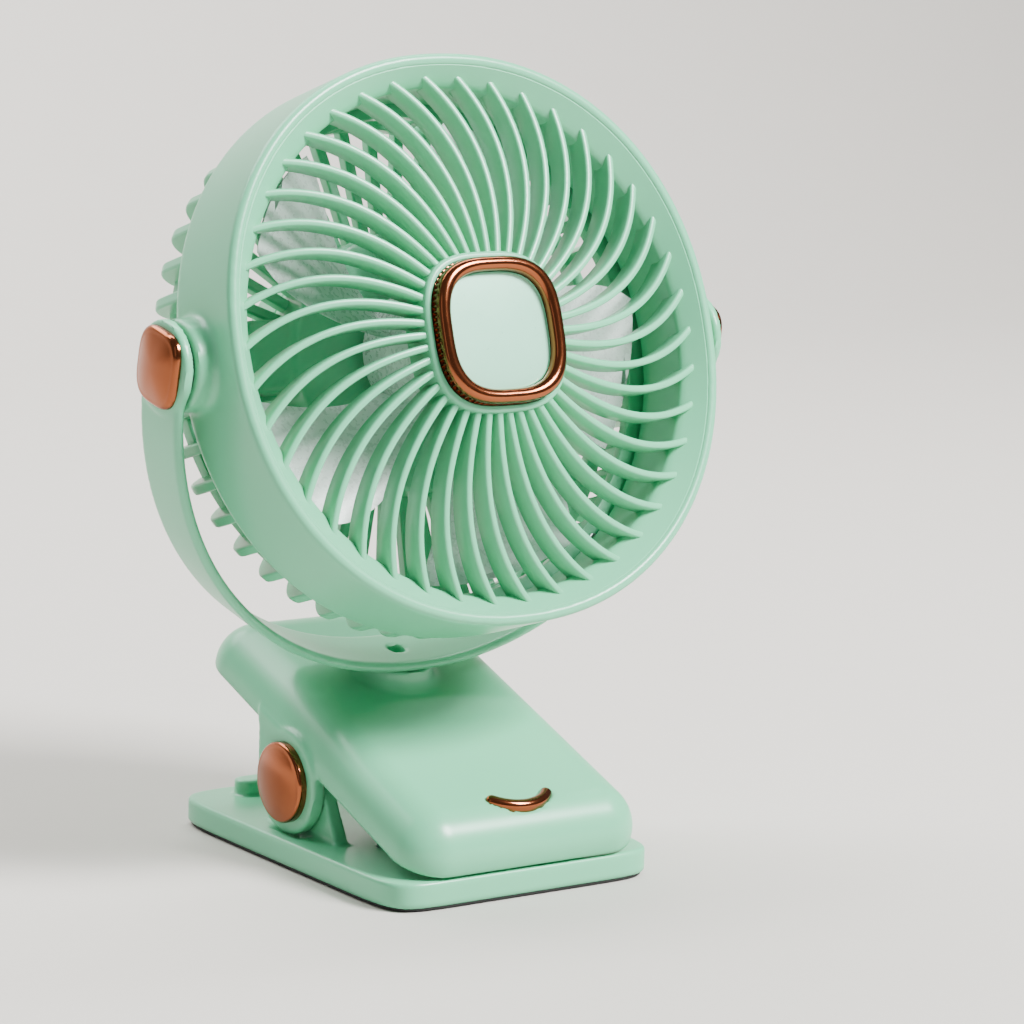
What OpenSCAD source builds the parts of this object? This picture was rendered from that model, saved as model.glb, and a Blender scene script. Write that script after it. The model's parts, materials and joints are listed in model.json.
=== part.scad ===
// Clip fan: a round head in a U-shaped yoke that swivels on the upper jaw of a spring clip.
// X points right, Y points back and Z points up. The origin lies on the ground under the base.

/* [Base] */
// Width of the base plate
base_w = 67; // [65:1:74]
// Length of the base plate, front to back
base_l = 89; // [84:1:94]
// Height of the top face of the base above the ground
base_h = 6; // [5:0.5:8]
// Thickness of the rubber pad under the base
foot_t = 1; // [0.8:0.1:1.6]
// How square the corners of the base are
base_square = 10; // [5:0.5:12]
// Radius of the upper edge of the base
base_edge_r = 1; // [0.5:0.1:1.6]
// Width of the grip pads in the mouth of the clip
pad_w = 38; // [30:1:44]
// Length of the grip pad on the base
base_pad_l = 23; // [18:1:26]
// Height of the base grip pad above the base
pad_rise = 0.6; // [0.4:0.1:0.9]
// Length of the stop bar at the rear of the base
stop_w = 44; // [36:1:50]
// Depth of the stop bar, front to back
stop_d = 5.5; // [4:0.5:7]
// Height of the stop bar above the base
stop_h = 3.5; // [2.5:0.1:4]

/* [Hinge] */
// Distance of the hinge axis behind the front edge of the base
hinge_back = 48.5; // [46:0.5:52]
// Height of the hinge axis above the base
hinge_rise = 11; // [10.4:0.1:12]
// Diameter of the steel hinge pin
pin_d = 4; // [3:0.1:4.6]
// Thickness of each lug that stands on the base
base_lug_t = 3.2; // [2.6:0.1:4]
// Radius of the base lugs around the pin
base_lug_r = 6.1; // [5:0.1:6.2]
// Thickness of each round lug that hangs from the jaw
jaw_lug_t = 2.9; // [2.4:0.1:3.4]
// Radius of the jaw lugs around the pin
jaw_lug_r = 11.2; // [10:0.1:11.6]
// Diameter of the round copper caps over the ends of the pin
hinge_cap_d = 17.3; // [14:0.1:19]
// Thickness of the hinge caps at their middle
hinge_cap_t = 3.1; // [2.6:0.1:4]

/* [Spring] */
// Diameter of the spring wire
wire_d = 1.8; // [1.2:0.1:2]
// Mean radius of the spring coil
coil_r = 5.6; // [5:0.1:6]
// Advance of the coil in each turn
coil_pitch = 2.6; // [2.5:0.1:3]
// Number of curls in the coil
coil_curls = 8; // [5:1:9]
// Distance of the spring's feet behind the hinge axis
leg_reach = 17; // [14:0.5:18]

/* [Jaw] */
// Width of the jaw
jaw_w = 58.8; // [56:0.2:60]
// Length of the jaw in front of the hinge, along its own slope
jaw_front = 49.4; // [46:0.2:50]
// Length of the jaw behind the hinge, along its own slope
jaw_rear = 41.8; // [36:0.2:43]
// Distance of the jaw's lower rim from the hinge axis
jaw_low = 6.6; // [6.5:0.1:7.4]
// Thickness of the jaw
jaw_t = 10.8; // [10:0.1:13]
// Radius of the jaw's rounded edges and corners
jaw_edge_r = 9.4; // [7:0.1:10]
// Wall of the jaw shell
jaw_wall = 2; // [1.6:0.1:2.4]
// Thickness of the cover under the jaw
under_cover_t = 1.6; // [1.2:0.1:2]
// Length of the grip pad under the nose
jaw_pad_l = 15; // [10:0.5:18]
// Length of the copper trim bar between its ends
trim_chord = 13.6; // [12:0.1:20]
// Depth of the trim bar's curve
trim_sag = 2.9; // [2:0.1:5]
// Width of the trim bar
trim_w = 2.7; // [2:0.1:3.2]

/* [Swivel] */
// Distance of the swivel axis behind the hinge, at the yoke
swivel_back = 4; // [2:0.5:6]
// Diameter of the neck on the jaw
neck_d = 16; // [14:0.2:18]
// Height of the yoke above the top of the jaw
neck_h = 3.2; // [2.4:0.1:4]
// Forward lean of the swivel axis
lean = 12; // [8:0.5:14]
// Diameter of the yoke's post in the neck
post_d = 9.6; // [8:0.1:10]
// Length of the post below the yoke
post_l = 7.5; // [7:0.1:8]
// Diameter of the hole that shows in the bottom of the yoke
eye_d = 3.8; // [3.5:0.1:5]

/* [Yoke] */
// Gap between the side of the ring and the yoke
yoke_side_gap = 5.4; // [5.2:0.1:8]
// Gap between the bottom of the ring and the yoke
yoke_low_gap = 7.7; // [7:0.1:14]
// Thickness of the yoke's strip
yoke_t = 2.1; // [1.8:0.1:2.4]
// Width of the strip at the bottom
strip_low_w = 16.8; // [15:0.1:19]
// Width of the strip at the pivots
strip_top_w = 15.3; // [13:0.1:18]
// Diameter of the round ends of the yoke
yoke_end_d = 19; // [18:0.1:21]
// Width of the copper pivot caps
pivot_cap_w = 15.2; // [13:0.1:18]
// Height of the copper pivot caps
pivot_cap_h = 16; // [14:0.1:18.6]
// How far the pivot caps stand out from the yoke
pivot_cap_t = 2.5; // [2.4:0.1:4]

/* [Head] */
// Upward tilt of the head
tilt = 17.5; // [0:0.5:30]
// Half of the ring's width and height
ring_r = 60; // [57:0.5:60]
// Squareness of the ring, where 2 is a circle
ring_square = 2.14; // [2:0.02:2.2]
// Depth of the ring, front to back
ring_depth = 22.6; // [20:0.2:24]
// Distance of the ring's front edge in front of the pivot axis
lip_front = 16.4; // [15:0.1:17]
// Wall of the ring
ring_wall = 2.6; // [2.2:0.1:3]
// Radius of the ring's soft edges
ring_edge_r = 1.2; // [0.6:0.1:1.3]
// Diameter of the round bosses on the sides of the ring
boss_d = 19; // [16:0.1:20]
// Thickness of the washers between the yoke and the bosses
washer_t = 0.9; // [0.6:0.1:1.2]

/* [Front grille] */
// Number of curved ribs
rib_count = 42; // [24:1:44]
// Thickness of a rib
rib_t = 1.5; // [1.2:0.1:1.7]
// Depth of a rib along the axis of the fan
rib_depth = 5.5; // [4:0.1:6]
// Turn of a rib between its tip and its root
rib_turn = 17.7; // [10:0.1:20]
// Rise of the domed ribs from the ring to the hub
dome_rise = 7.1; // [6:0.1:8]
// Width of the sloping band inside the ring
band_w = 3.9; // [3.4:0.1:4.9]
// Depth of the sloping band inside the rim
band_depth = 3.9; // [3:0.1:5]
// Half width of the hub
hub_r = 16.8; // [16:0.1:18]
// Squareness of the hub
hub_square = 3; // [2.6:0.1:4]
// Half width of the copper frame on the hub
frame_r = 15.3; // [14.8:0.1:15.4]
// Width of the copper frame's band
frame_w = 3; // [2.4:0.1:3.4]
// How far the copper frame stands in front of the ring's edge
frame_front = 8; // [7.4:0.1:9]

/* [Rotor] */
// Number of blades
blade_count = 5; // [3:1:7]
// Gap between the blade tips and the opening inside the sloping band
tip_gap = 4.5; // [2.5:0.5:9]
// Radius of the rotor's hub
rotor_hub_r = 14; // [13:0.1:15]
// Thickness of a blade
blade_t = 1.2; // [0.9:0.1:1.6]
// Angle that a blade covers at its root
blade_root_angle = 34; // [26:1:40]
// Angle that a blade covers near its tip
blade_tip_angle = 46; // [36:1:50]
// Sweep of the blade's middle from root to tip
blade_sweep = 20; // [0:1:30]
// Depth of a blade along the axis of the fan
blade_depth = 12; // [8:0.5:12.5]
// Diameter of the motor shaft
shaft_d = 2; // [1.5:0.1:3]

/* [Rear grille] */
// Number of fins
fin_count = 46; // [30:2:50]
// Thickness of a fin
fin_t = 2.4; // [1.6:0.1:2.5]
// Distance of the fins' outer edges inside the outside of the ring
fin_inset = 1.2; // [1:0.1:2]
// Depth of the fins behind the ring
fin_back = 15.8; // [14:0.1:17]
// Radius of the fins' rounded corners
fin_corner_r = 6; // [3:0.1:7]
// Radius of the round housing in the middle
drum_r = 28; // [27:0.1:30]
// Wall of the housing
drum_wall = 1.8; // [1.4:0.1:2]
// Distance of the housing's front wall behind the pivot axis
drum_front = 12; // [11.6:0.1:12.4]
// Length of the housing, with its rear cover
drum_l = 24; // [24:0.1:26]
// Length of the rear cover
cover_l = 12; // [11.6:0.1:12.4]
// Radius of the rear cover's edge
cover_edge_r = 2.4; // [1.6:0.1:2.6]

/* [Motor and electronics] */
// Diameter of the motor
motor_d = 24; // [20:0.1:25]
// Length of the motor can
motor_l = 11.8; // [11:0.1:12]
// Width of the battery
battery_w = 32; // [26:1:32]
// Height of the battery
battery_h = 24; // [18:1:24]
// Thickness of the circuit board
board_t = 1.4; // [1:0.1:1.6]
// Radius of the circuit board
board_r = 19; // [18:0.1:19]
// Diameter of the power button
button_d = 11; // [8:0.1:11.4]
// How far the power button stands out
button_proud = 0.8; // [0.8:0.1:1.4]
// Travel of the power button
button_travel = 0.8; // [0.5:0.05:0.8]

/* [Hidden] */
$fn = 64;

mint = "#8fcbae";
copper = "#a9623c";
steel = "#b9bcc0";
rubber = "#2b2d2c";

// Radial clearance of a running fit
run_fit = 0.05;
// Clearance between faces of two bodies
face_gap = 0.1;
// Clearance between soft or rounded faces
soft_gap = 0.3;
// Clearance of a part that drops into a pocket
pocket_gap = 0.15;
// Overrun of every cut
over = 1;
// Steps of a soft outline and of a rounded edge
outline_steps = 80;
edge_steps = 4;
arc_steps = 6;

// Base
hinge_y = 2;
base_front_y = hinge_y - hinge_back;
base_mid_y = base_front_y + base_l / 2;
hinge_z = base_h + hinge_rise;
foot_inset = 0.5;
pad_sink = 1;
pad_front = 7;
pad_top_z = base_h + pad_rise;
slot_depth = 1.2;
slot_gap = 0.35;
lug_foot_front = 16.3;
lug_foot_rear = 12;
lug_apex = 5.5;
lug_under = 0.5;
stop_back = 5;

// Jaw, closed: u runs back along its slope and w stands square to it, from the hinge axis
rim_gap = 0.2;
jaw_top = jaw_low + jaw_t;
rest_rise = hinge_rise - rim_gap;
rest_arm = sqrt(jaw_front * jaw_front + jaw_low * jaw_low);
jaw_tilt = asin(rest_rise / rest_arm) + atan2(jaw_low, jaw_front);
jaw_lug_proud = 0.5;
jaw_lug_out = jaw_w / 2 + jaw_lug_proud;
jaw_lug_in = jaw_lug_out - jaw_lug_t;
base_lug_out = jaw_lug_in - soft_gap;
base_lug_in = base_lug_out - base_lug_t;
pin_proud = 1.1;
pin_end = jaw_lug_out + pin_proud;
cover_sink = 0.2;
cover_low = jaw_low + cover_sink;
cover_top = cover_low + under_cover_t;
cover_fit = 0.35;
cover_screw_d = 2.2;
cover_screw_head_d = 4.4;
cover_screw_head_t = 1;
cover_screw_l = 5;
cover_post_d = 6;
cover_screw_side = 9.4;
cover_screw_nose = 13;
cover_screw_tail = 11.5;
cover_screw_x = jaw_w / 2 - cover_screw_side;
cover_screw_front = jaw_front - cover_screw_nose;
cover_screw_rear = jaw_rear - cover_screw_tail;
lug_cut = 0.4;
trim_back = 7;
trim_r = (trim_chord * trim_chord / 4 + trim_sag * trim_sag) / (2 * trim_sag);
trim_half_angle = asin(trim_chord / 2 / trim_r);
trim_sink = 0.3;
bevel_low_share = 0.3;
bevel_top_share = 0.55;
hinge_cap_sag = 1.4;
cap_bore_gap = 0.3;

// Swivel and yoke
swivel_y = hinge_y + swivel_back;
swivel_z = hinge_z + swivel_back * tan(jaw_tilt) + jaw_top / cos(jaw_tilt) + neck_h;
neck_flare = 3;
neck_root = 6;
collar_l = post_l - face_gap;
swivel_washer_d = 14;
swivel_washer_t = 1;
screw_d = 2.6;
swivel_head_d = 6;
swivel_head_t = 1.8;
eye_depth = 3;
yoke_square = 2.1;
yoke_in = ring_r + yoke_side_gap;
yoke_r = yoke_in + yoke_t;
yoke_drop = ring_r + yoke_low_gap + yoke_t;
pivot_screw_d = 3.4;
pivot_head_d = 6.4;
pivot_head_t = 1.4;
cap_square = 3.2;
pivot_cap_sag = 1;
boss_face = yoke_in - washer_t - face_gap;
washer_d = 16;

// Head, measured along the fan's axis from the pivot axis, with the back positive
ring_front_z = -lip_front;
ring_back_z = ring_depth - lip_front;
ring_in = ring_r - ring_wall;
band_out = ring_in - pocket_gap;
band_front_z = ring_front_z + 0.5 * ring_edge_r;
band_back_z = band_front_z + band_depth;
duct_r = ring_in - band_w;
duct_wall = 1.5;
duct_l = 18;
duct_back_z = ring_front_z + duct_l;
tip_r = (band_out + duct_r) / 2;
rib_front_z = (band_front_z + band_back_z) / 2;
rib_sink = 0.8;
rib_root_r = hub_r - rib_sink;
rib_steps = 8;
rib_curl = 1.85;
frame_front_z = ring_front_z - frame_front;
frame_proud = 3.2;
hub_front_z = frame_front_z + frame_proud;
hub_l = 8.6;
hub_wall = 1.5;
seat_depth = 1.8;
seat_z = hub_front_z + seat_depth;
plate_low = 2.4;
frame_edge_r = 1.4;

flange_t = 2.8;
flange_band = 6.4;
flange_in = ring_in - flange_band;
fin_r = ring_r - fin_inset;
fin_back_z = ring_back_z + fin_back;
fin_seat = 1.4;
fin_in = flange_in + fin_seat;
foot_gap = 1;
fin_foot = ring_in - foot_gap;
spoke_depth = 3;
rim_w = 3;
rim_lip = 1;
rim_in = fin_in - rim_lip;
rim_out = rim_in + rim_w;
rim_depth = 2.8;
rim_lap = 0.5;
drum_joint_z = drum_front + drum_l - cover_l;
drum_back_z = drum_front + drum_l;
first_screw_share = 6.5;
grille_screw_head_d = 4.2;
grille_screw_head_t = 1.8;
grille_screw_l = 9;
grille_boss_d = 5.4;
grille_screw_r = ring_in - soft_gap - grille_boss_d / 2;
pod_l = 38;
pod_low = -4.5;
pod_high = 11;
pod_front_inset = 1.6;
pod_back_inset = 2;
pod_front_z = drum_front + pod_front_inset;
pod_back_z = drum_back_z - pod_back_inset;
pod_in_z = pod_back_z - drum_wall;

motor_front_z = drum_front + drum_wall;
motor_wall = 1;
motor_back_z = motor_front_z + motor_l;
bush_d = 6;
bush_front = 2.2;
bush_l = 4;
end_cap_t = 2.4;
end_cap_sink = 1.4;
magnet_t = 1.7;
magnet_l = 7.4;
magnet_angle = 120;
armature_gap = 0.5;
armature_l = 4.8;
commutator_d = 6;
commutator_l = 1.4;
motor_screw_x = 8;
motor_screw_d = 2;
motor_screw_head_d = 3.6;
motor_screw_head_t = 1.2;
motor_screw_l = 3;
terminal_x = 6;
terminal_w = 2;
terminal_t = 0.5;
end_cap_back_z = motor_back_z + end_cap_t - end_cap_sink;
board_gap = 0.4;
board_front_z = end_cap_back_z + board_gap;
board_back_z = board_front_z + board_t;
cover_in_z = drum_back_z - drum_wall;
battery_gap = 0.2;
battery_top = 5;
post_x = 8.5;
post_y = 16.5;
post_board_d = 4;
cover_screw_r = 22.3;
rear_screw_angles = [55, 180, 305];
rear_boss_d = 5.6;
rear_screw_head_d = 4;
rear_screw_head_t = 1.6;
rear_screw_l = 15;
button_y = 13;
switch_w = 6;
plunger_d = 3;
plunger_h = 1;
flange_w = 0.8;
flange_button_t = 1.1;
button_gap = 0.1;
button_back_z = drum_back_z + button_proud;
button_flange_z = cover_in_z - face_gap - flange_button_t;
switch_top_z = button_flange_z - button_gap - button_travel;
port_w = 8.9;
port_t = 3.2;
port_l = 7.2;
port_sink = 0.8;
port_y = (pod_low + pod_high) / 2;
port_gap = 0.2;
port_wall = 0.3;
tab_fit = 0.1;
tab_w = port_w - tab_fit;
light_y = 22.6;
light_d = 2.6;
light_flange_d = 4;
light_flange_t = 0.8;
light_proud = 0.2;

// Rotor
blade_r = duct_r - tip_gap;
hub_front_gap = 5.4;
rotor_front_z = ring_front_z + hub_front_gap;
hub_back_gap = 3;
rotor_back_z = drum_front - hub_back_gap;
rotor_wall = 1.6;
blade_mid_z = 1.4;
blade_r_steps = 8;
blade_s_steps = 6;
blade_first = 17;
tip_round_share = 0.35;
shaft_seat = 5;
shaft_front_z = rotor_front_z + shaft_seat;

// Spring
coil_sides = 6;
coil_rings = 8;
bend_r = 2.4;
bend_steps = 3;
foot_run = wire_d;

// Soft outlines
function soft_point(a, b, n, t) = [
    sign(cos(t)) * a * pow(abs(cos(t)), 2 / n),
    sign(sin(t)) * b * pow(abs(sin(t)), 2 / n)];
function soft_outline(a, b, n) =
    [for (i = [0 : outline_steps - 1]) soft_point(a, b, n, 360 * i / outline_steps)];

// Flat plate with a soft outline
module soft_plate(a, b, n, t) {
    linear_extrude(height = t)
        polygon(soft_outline(a, b, n));
}

// Soft plate whose upper edge has radius r and whose lower edge has radius q
module round_plate(a, b, n, t, r, q) {
    hull() {
        translate([0, 0, q])
            soft_plate(a, b, n, t - r - q);
        for (s = [45, 90]) {
            translate([0, 0, t / 2])
                soft_plate(a - r * (1 - cos(s)), b - r * (1 - cos(s)), n, t / 2 - r + r * sin(s));
            translate([0, 0, q - q * sin(s)])
                soft_plate(a - q * (1 - cos(s)), b - q * (1 - cos(s)), n, t / 2 - q + q * sin(s));
        }
    }
}

// Low dome on a round foot
module dome(r, t, sag) {
    ball = (r * r + sag * sag) / (2 * sag);
    intersection() {
        cylinder(r = r, h = t);
        translate([0, 0, t - ball])
            sphere(r = ball, $fn = 96);
    }
}

// Places: the polygon's x becomes Y and its y becomes Z, from x0 to x1
module side_extrude(x0, x1) {
    translate([x0, 0, 0])
        rotate([90, 0, 90])
            linear_extrude(height = x1 - x0)
                children();
}

// Children stand out to the right (side = 1) or to the left (side = -1) from x = 0
module outward(side) {
    rotate([0, side * 90, 0])
        children();
}

function jaw_point(u, w) = [
    hinge_y + u * cos(jaw_tilt) - w * sin(jaw_tilt),
    hinge_z + u * sin(jaw_tilt) + w * cos(jaw_tilt)];
function jaw_plane_z(y, w) = hinge_z + (y - hinge_y) * tan(jaw_tilt) + w / cos(jaw_tilt);

module at_hinge() {
    translate([0, hinge_y, hinge_z])
        children();
}

module at_jaw() {
    at_hinge()
        rotate([jaw_tilt, 0, 0])
            children();
}

module at_swivel() {
    translate([0, swivel_y, swivel_z])
        rotate([lean, 0, 0])
            children();
}

module at_pivot() {
    at_swivel()
        translate([0, 0, yoke_drop])
            rotate([-lean, 0, 0])
                children();
}

module at_head() {
    at_pivot()
        rotate([-tilt, 0, 0])
            children();
}

// Along the fan's axis: z runs back, y runs down and angles run clockwise from the right
module at_axis() {
    at_head()
        rotate([-90, 0, 0])
            children();
}

function clock(r, a) = [r * sin(a), -r * cos(a), 0];

// Base
module base_lug_outline() {
    polygon([
        [hinge_y - lug_foot_front, base_h - over],
        [hinge_y - lug_foot_front + over, base_h + over / 2],
        jaw_point(-lug_apex, jaw_low - lug_under),
        jaw_point(0, base_lug_r),
        [hinge_y + base_lug_r, hinge_z],
        [hinge_y + lug_foot_rear, base_h],
        [hinge_y + lug_foot_rear, base_h - over]]);
}

module base_plate() {
    color(mint)
        difference() {
            union() {
                translate([0, base_mid_y, foot_t])
                    round_plate(base_w / 2, base_l / 2, base_square, base_h - foot_t,
                        base_edge_r, 0.4 * base_edge_r);
                for (side = [-1, 1]) {
                    x0 = side > 0 ? base_lug_in : -base_lug_out;
                    side_extrude(x0, x0 + base_lug_t)
                        base_lug_outline();
                    translate([x0, hinge_y, hinge_z])
                        rotate([0, 90, 0])
                            cylinder(r = base_lug_r, h = base_lug_t);
                }
                stop_y = base_front_y + base_l - stop_back - stop_d / 2;
                translate([-(stop_w - stop_d) / 2, stop_y - stop_d / 2, base_h - over])
                    cube([stop_w - stop_d, stop_d, stop_h + over]);
                for (side = [-1, 1])
                    translate([side * (stop_w - stop_d) / 2, stop_y, base_h - over])
                        cylinder(d = stop_d, h = stop_h + over);
            }
            at_hinge()
                rotate([0, 90, 0])
                    cylinder(d = pin_d + 2 * run_fit, h = base_w, center = true);
            for (side = [-1, 1]) {
                x0 = side > 0 ? jaw_lug_in - slot_gap : -jaw_lug_out - slot_gap;
                translate([x0, hinge_y, hinge_z])
                    rotate([0, 90, 0])
                        cylinder(r = jaw_lug_r + slot_depth, h = jaw_lug_t + 2 * slot_gap);
            }
            translate([-pad_w / 2, base_front_y + pad_front, base_h - pad_sink])
                cube([pad_w, base_pad_l, pad_sink + over]);
        }
}

module base_foot_pad() {
    color(rubber)
        translate([0, base_mid_y, 0])
            soft_plate(base_w / 2 - foot_inset, base_l / 2 - foot_inset, base_square, foot_t);
}

module base_grip_pad() {
    color("#5f7f74")
        translate([-pad_w / 2 + pocket_gap, base_front_y + pad_front + pocket_gap, base_h - pad_sink])
            cube([pad_w - 2 * pocket_gap, base_pad_l - 2 * pocket_gap, pad_sink + pad_rise]);
}

module hinge_pin() {
    color(steel)
        at_hinge()
            rotate([0, 90, 0])
                cylinder(d = pin_d, h = 2 * pin_end, center = true);
}

// Spring: a leg down to the base, the coil, and a leg up to the jaw's cover
base_leg_drop = hinge_rise - foot_run - bend_r;
base_leg_angle = atan2(base_leg_drop, leg_reach - bend_r)
    + asin(coil_r / norm([base_leg_drop, leg_reach - bend_r]));
jaw_leg_rise = cover_low - foot_run - bend_r;
jaw_leg_angle = atan2(jaw_leg_rise, leg_reach - bend_r)
    + asin(coil_r / norm([jaw_leg_rise, leg_reach - bend_r]));
coil_start = 90 - base_leg_angle;
coil_end = jaw_leg_angle - 90 + jaw_tilt + 360 * coil_curls;
coil_steps = ceil((coil_end - coil_start) * coil_rings / 360);
coil_l = coil_pitch * (coil_end - coil_start) / 360;

// Feet of the legs: the base leg seen from the hinge, and the jaw leg in the jaw's own frame
base_foot = [leg_reach, -hinge_rise];
jaw_foot = [leg_reach, cover_low];

// Bend from a slope of angle a to upright, ending under the point p, mirrored for the base leg
function bend_point(p, a, k) =
    let (t = a + (90 - a) * k / bend_steps)
        [p[0] - bend_r + bend_r * sin(t), p[1] - bend_r * cos(t)];
function turned(p, a) = [p[0] * cos(a) - p[1] * sin(a), p[0] * sin(a) + p[1] * cos(a)];

base_leg = concat(
    [[base_foot[0], base_foot[1]], [base_foot[0], base_foot[1] + foot_run]],
    [for (k = [bend_steps - 1 : -1 : 0])
        let (q = bend_point([leg_reach, hinge_rise - foot_run], base_leg_angle, k)) [q[0], -q[1]]]);
jaw_leg = [for (p = concat(
    [for (k = [0 : bend_steps - 1]) bend_point([leg_reach, cover_low - foot_run], jaw_leg_angle, k)],
    [[jaw_foot[0], jaw_foot[1] - foot_run], [jaw_foot[0], jaw_foot[1]]])) turned(p, jaw_tilt)];
spring_path = concat(
    [for (p = base_leg) [-coil_l / 2, p[0], p[1]]],
    [for (i = [0 : coil_steps])
        let (a = coil_start + (coil_end - coil_start) * i / coil_steps)
            [-coil_l / 2 + coil_l * i / coil_steps, coil_r * cos(a), coil_r * sin(a)]],
    [for (p = jaw_leg) [coil_l / 2, p[0], p[1]]]);
spring_last = len(spring_path) - 1;

function unit(v) = v / norm(v);
function heading(i) =
    i == 0 ? unit(spring_path[1] - spring_path[0]) :
    i == spring_last ? unit(spring_path[i] - spring_path[i - 1]) :
    unit(unit(spring_path[i + 1] - spring_path[i]) + unit(spring_path[i] - spring_path[i - 1]));
function ring_at(i) =
    let (t = heading(i), side = unit([1, 0, 0] - t[0] * t), up = cross(t, side))
        [for (k = [0 : coil_sides - 1])
            let (a = 360 * k / coil_sides)
                spring_path[i] + wire_d / 2 * (cos(a) * side + sin(a) * up)];
spring_points = [for (i = [0 : spring_last]) for (p = ring_at(i)) p];
spring_faces = concat(
    [for (i = [0 : spring_last - 1]) for (k = [0 : coil_sides - 1]) for (half = [0, 1])
        let (a = i * coil_sides + k, b = i * coil_sides + (k + 1) % coil_sides)
            half == 0 ? [a, b, b + coil_sides] : [a, b + coil_sides, a + coil_sides]],
    [for (k = [1 : coil_sides - 2]) [0, k + 1, k]],
    [for (k = [1 : coil_sides - 2])
        let (c = spring_last * coil_sides) [c, c + k, c + k + 1]]);

// Least gap between points of the wire that lie more than half a curl apart
spring_gap = min([for (i = [0 : spring_last]) for (j = [i + coil_rings / 2 : spring_last])
    norm(spring_path[i] - spring_path[j])]) - wire_d;
echo(least_gap_of_the_spring_to_itself = spring_gap);

module torsion_spring() {
    color("silver")
        at_hinge()
            polyhedron(points = spring_points, faces = spring_faces);
}

// Jaw
function arc(x, y, r, a0, a1) =
    [for (k = [0 : arc_steps]) let (a = a0 + (a1 - a0) * k / arc_steps) [x + r * cos(a), y + r * sin(a)]];
function arch(x0, x1, low, top, r) = concat(
    [[x0, low]], arc(x0 + r, top - r, r, 180, 90), arc(x1 - r, top - r, r, 90, 0), [[x1, low]]);
function round_box(x0, x1, y0, y1, r) = concat(
    arc(x1 - r, y1 - r, r, 0, 90), arc(x0 + r, y1 - r, r, 90, 180),
    arc(x0 + r, y0 + r, r, 180, 270), arc(x1 - r, y0 + r, r, 270, 360));

// Slab of the jaw, rounded all round its top, drawn in by the inset
module jaw_slab(inset) {
    x = jaw_w / 2 - inset;
    u0 = -jaw_front + inset;
    u1 = jaw_rear - inset;
    low = jaw_low - (inset > 0 ? over : 0);
    r = jaw_edge_r - inset;
    intersection() {
        side_extrude(-x - over, x + over)
            polygon(arch(u0, u1, low, jaw_top - inset, r));
        translate([0, u1 + over, 0])
            rotate([90, 0, 0])
                linear_extrude(height = u1 - u0 + 2 * over)
                    polygon(arch(-x, x, low - over, jaw_top - inset, r));
        translate([0, 0, low - over])
            linear_extrude(height = jaw_t + 3 * over)
                polygon(round_box(-x, x, u0, u1, r));
    }
}

module jaw_lug_outline() {
    polygon([
        [hinge_y, hinge_z],
        [hinge_y + jaw_lug_r, hinge_z],
        [hinge_y + jaw_lug_r, jaw_plane_z(hinge_y + jaw_lug_r, jaw_low) + over / 2],
        [hinge_y, jaw_plane_z(hinge_y, jaw_low) + over / 2]]);
}

module at_trim() {
    at_jaw()
        translate([0, -jaw_front + trim_back + trim_r, jaw_top - trim_sink])
            children();
}

module trim_groove() {
    half = trim_w / 2 + run_fit;
    at_trim() {
        rotate([0, 0, -90 - trim_half_angle])
            rotate_extrude(angle = 2 * trim_half_angle, $fn = 96)
                translate([trim_r - half, -trim_w / 2 - run_fit])
                    square([2 * half, trim_w + over]);
        for (a = [-1, 1])
            rotate([0, 0, -90 + a * trim_half_angle])
                translate([trim_r, 0, -trim_w / 2 - run_fit])
                    cylinder(r = half, h = trim_w + over);
    }
}

module cover_screw_places() {
    for (x = [-cover_screw_x, cover_screw_x])
        for (u = [-cover_screw_front, cover_screw_rear])
            translate([x, u, 0])
                children();
}

module neck() {
    rotate_extrude()
        polygon(concat(
            [[0, -collar_l], [neck_d / 2, -collar_l], [neck_d / 2 + neck_flare, -neck_root]],
            [for (k = [0 : edge_steps])
                let (a = 90 * k / edge_steps)
                    [neck_d / 2 + neck_flare * (1 - sin(a)), -neck_h - neck_flare * cos(a) / 2]],
            [[neck_d / 2, -soft_gap], [0, -soft_gap]]));
}

module jaw_shell() {
    color(mint)
        difference() {
            union() {
                at_jaw()
                    difference() {
                        jaw_slab(0);
                        jaw_slab(jaw_wall);
                    }
                at_swivel()
                    neck();
                at_jaw()
                    cover_screw_places()
                        translate([0, 0, cover_top])
                            cylinder(d = cover_post_d, h = jaw_top - jaw_wall / 2 - cover_top);
                for (side = [-1, 1]) {
                    x0 = side > 0 ? jaw_lug_in : -jaw_lug_out;
                    side_extrude(x0, x0 + jaw_lug_t)
                        jaw_lug_outline();
                    translate([x0, hinge_y, hinge_z])
                        rotate([0, 90, 0])
                            cylinder(r = jaw_lug_r, h = jaw_lug_t);
                }
            }
            at_hinge()
                rotate([0, 90, 0])
                    cylinder(d = pin_d + 2 * run_fit, h = 2 * jaw_w, center = true);
            at_swivel()
                translate([0, 0, -post_l - over])
                    cylinder(d = post_d + 2 * run_fit, h = post_l + 2 * over);
            at_jaw()
                cover_screw_places()
                    translate([0, 0, cover_top - over])
                        cylinder(d = cover_screw_d + 2 * run_fit, h = cover_screw_l + over);
            trim_groove();
        }
}

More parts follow.
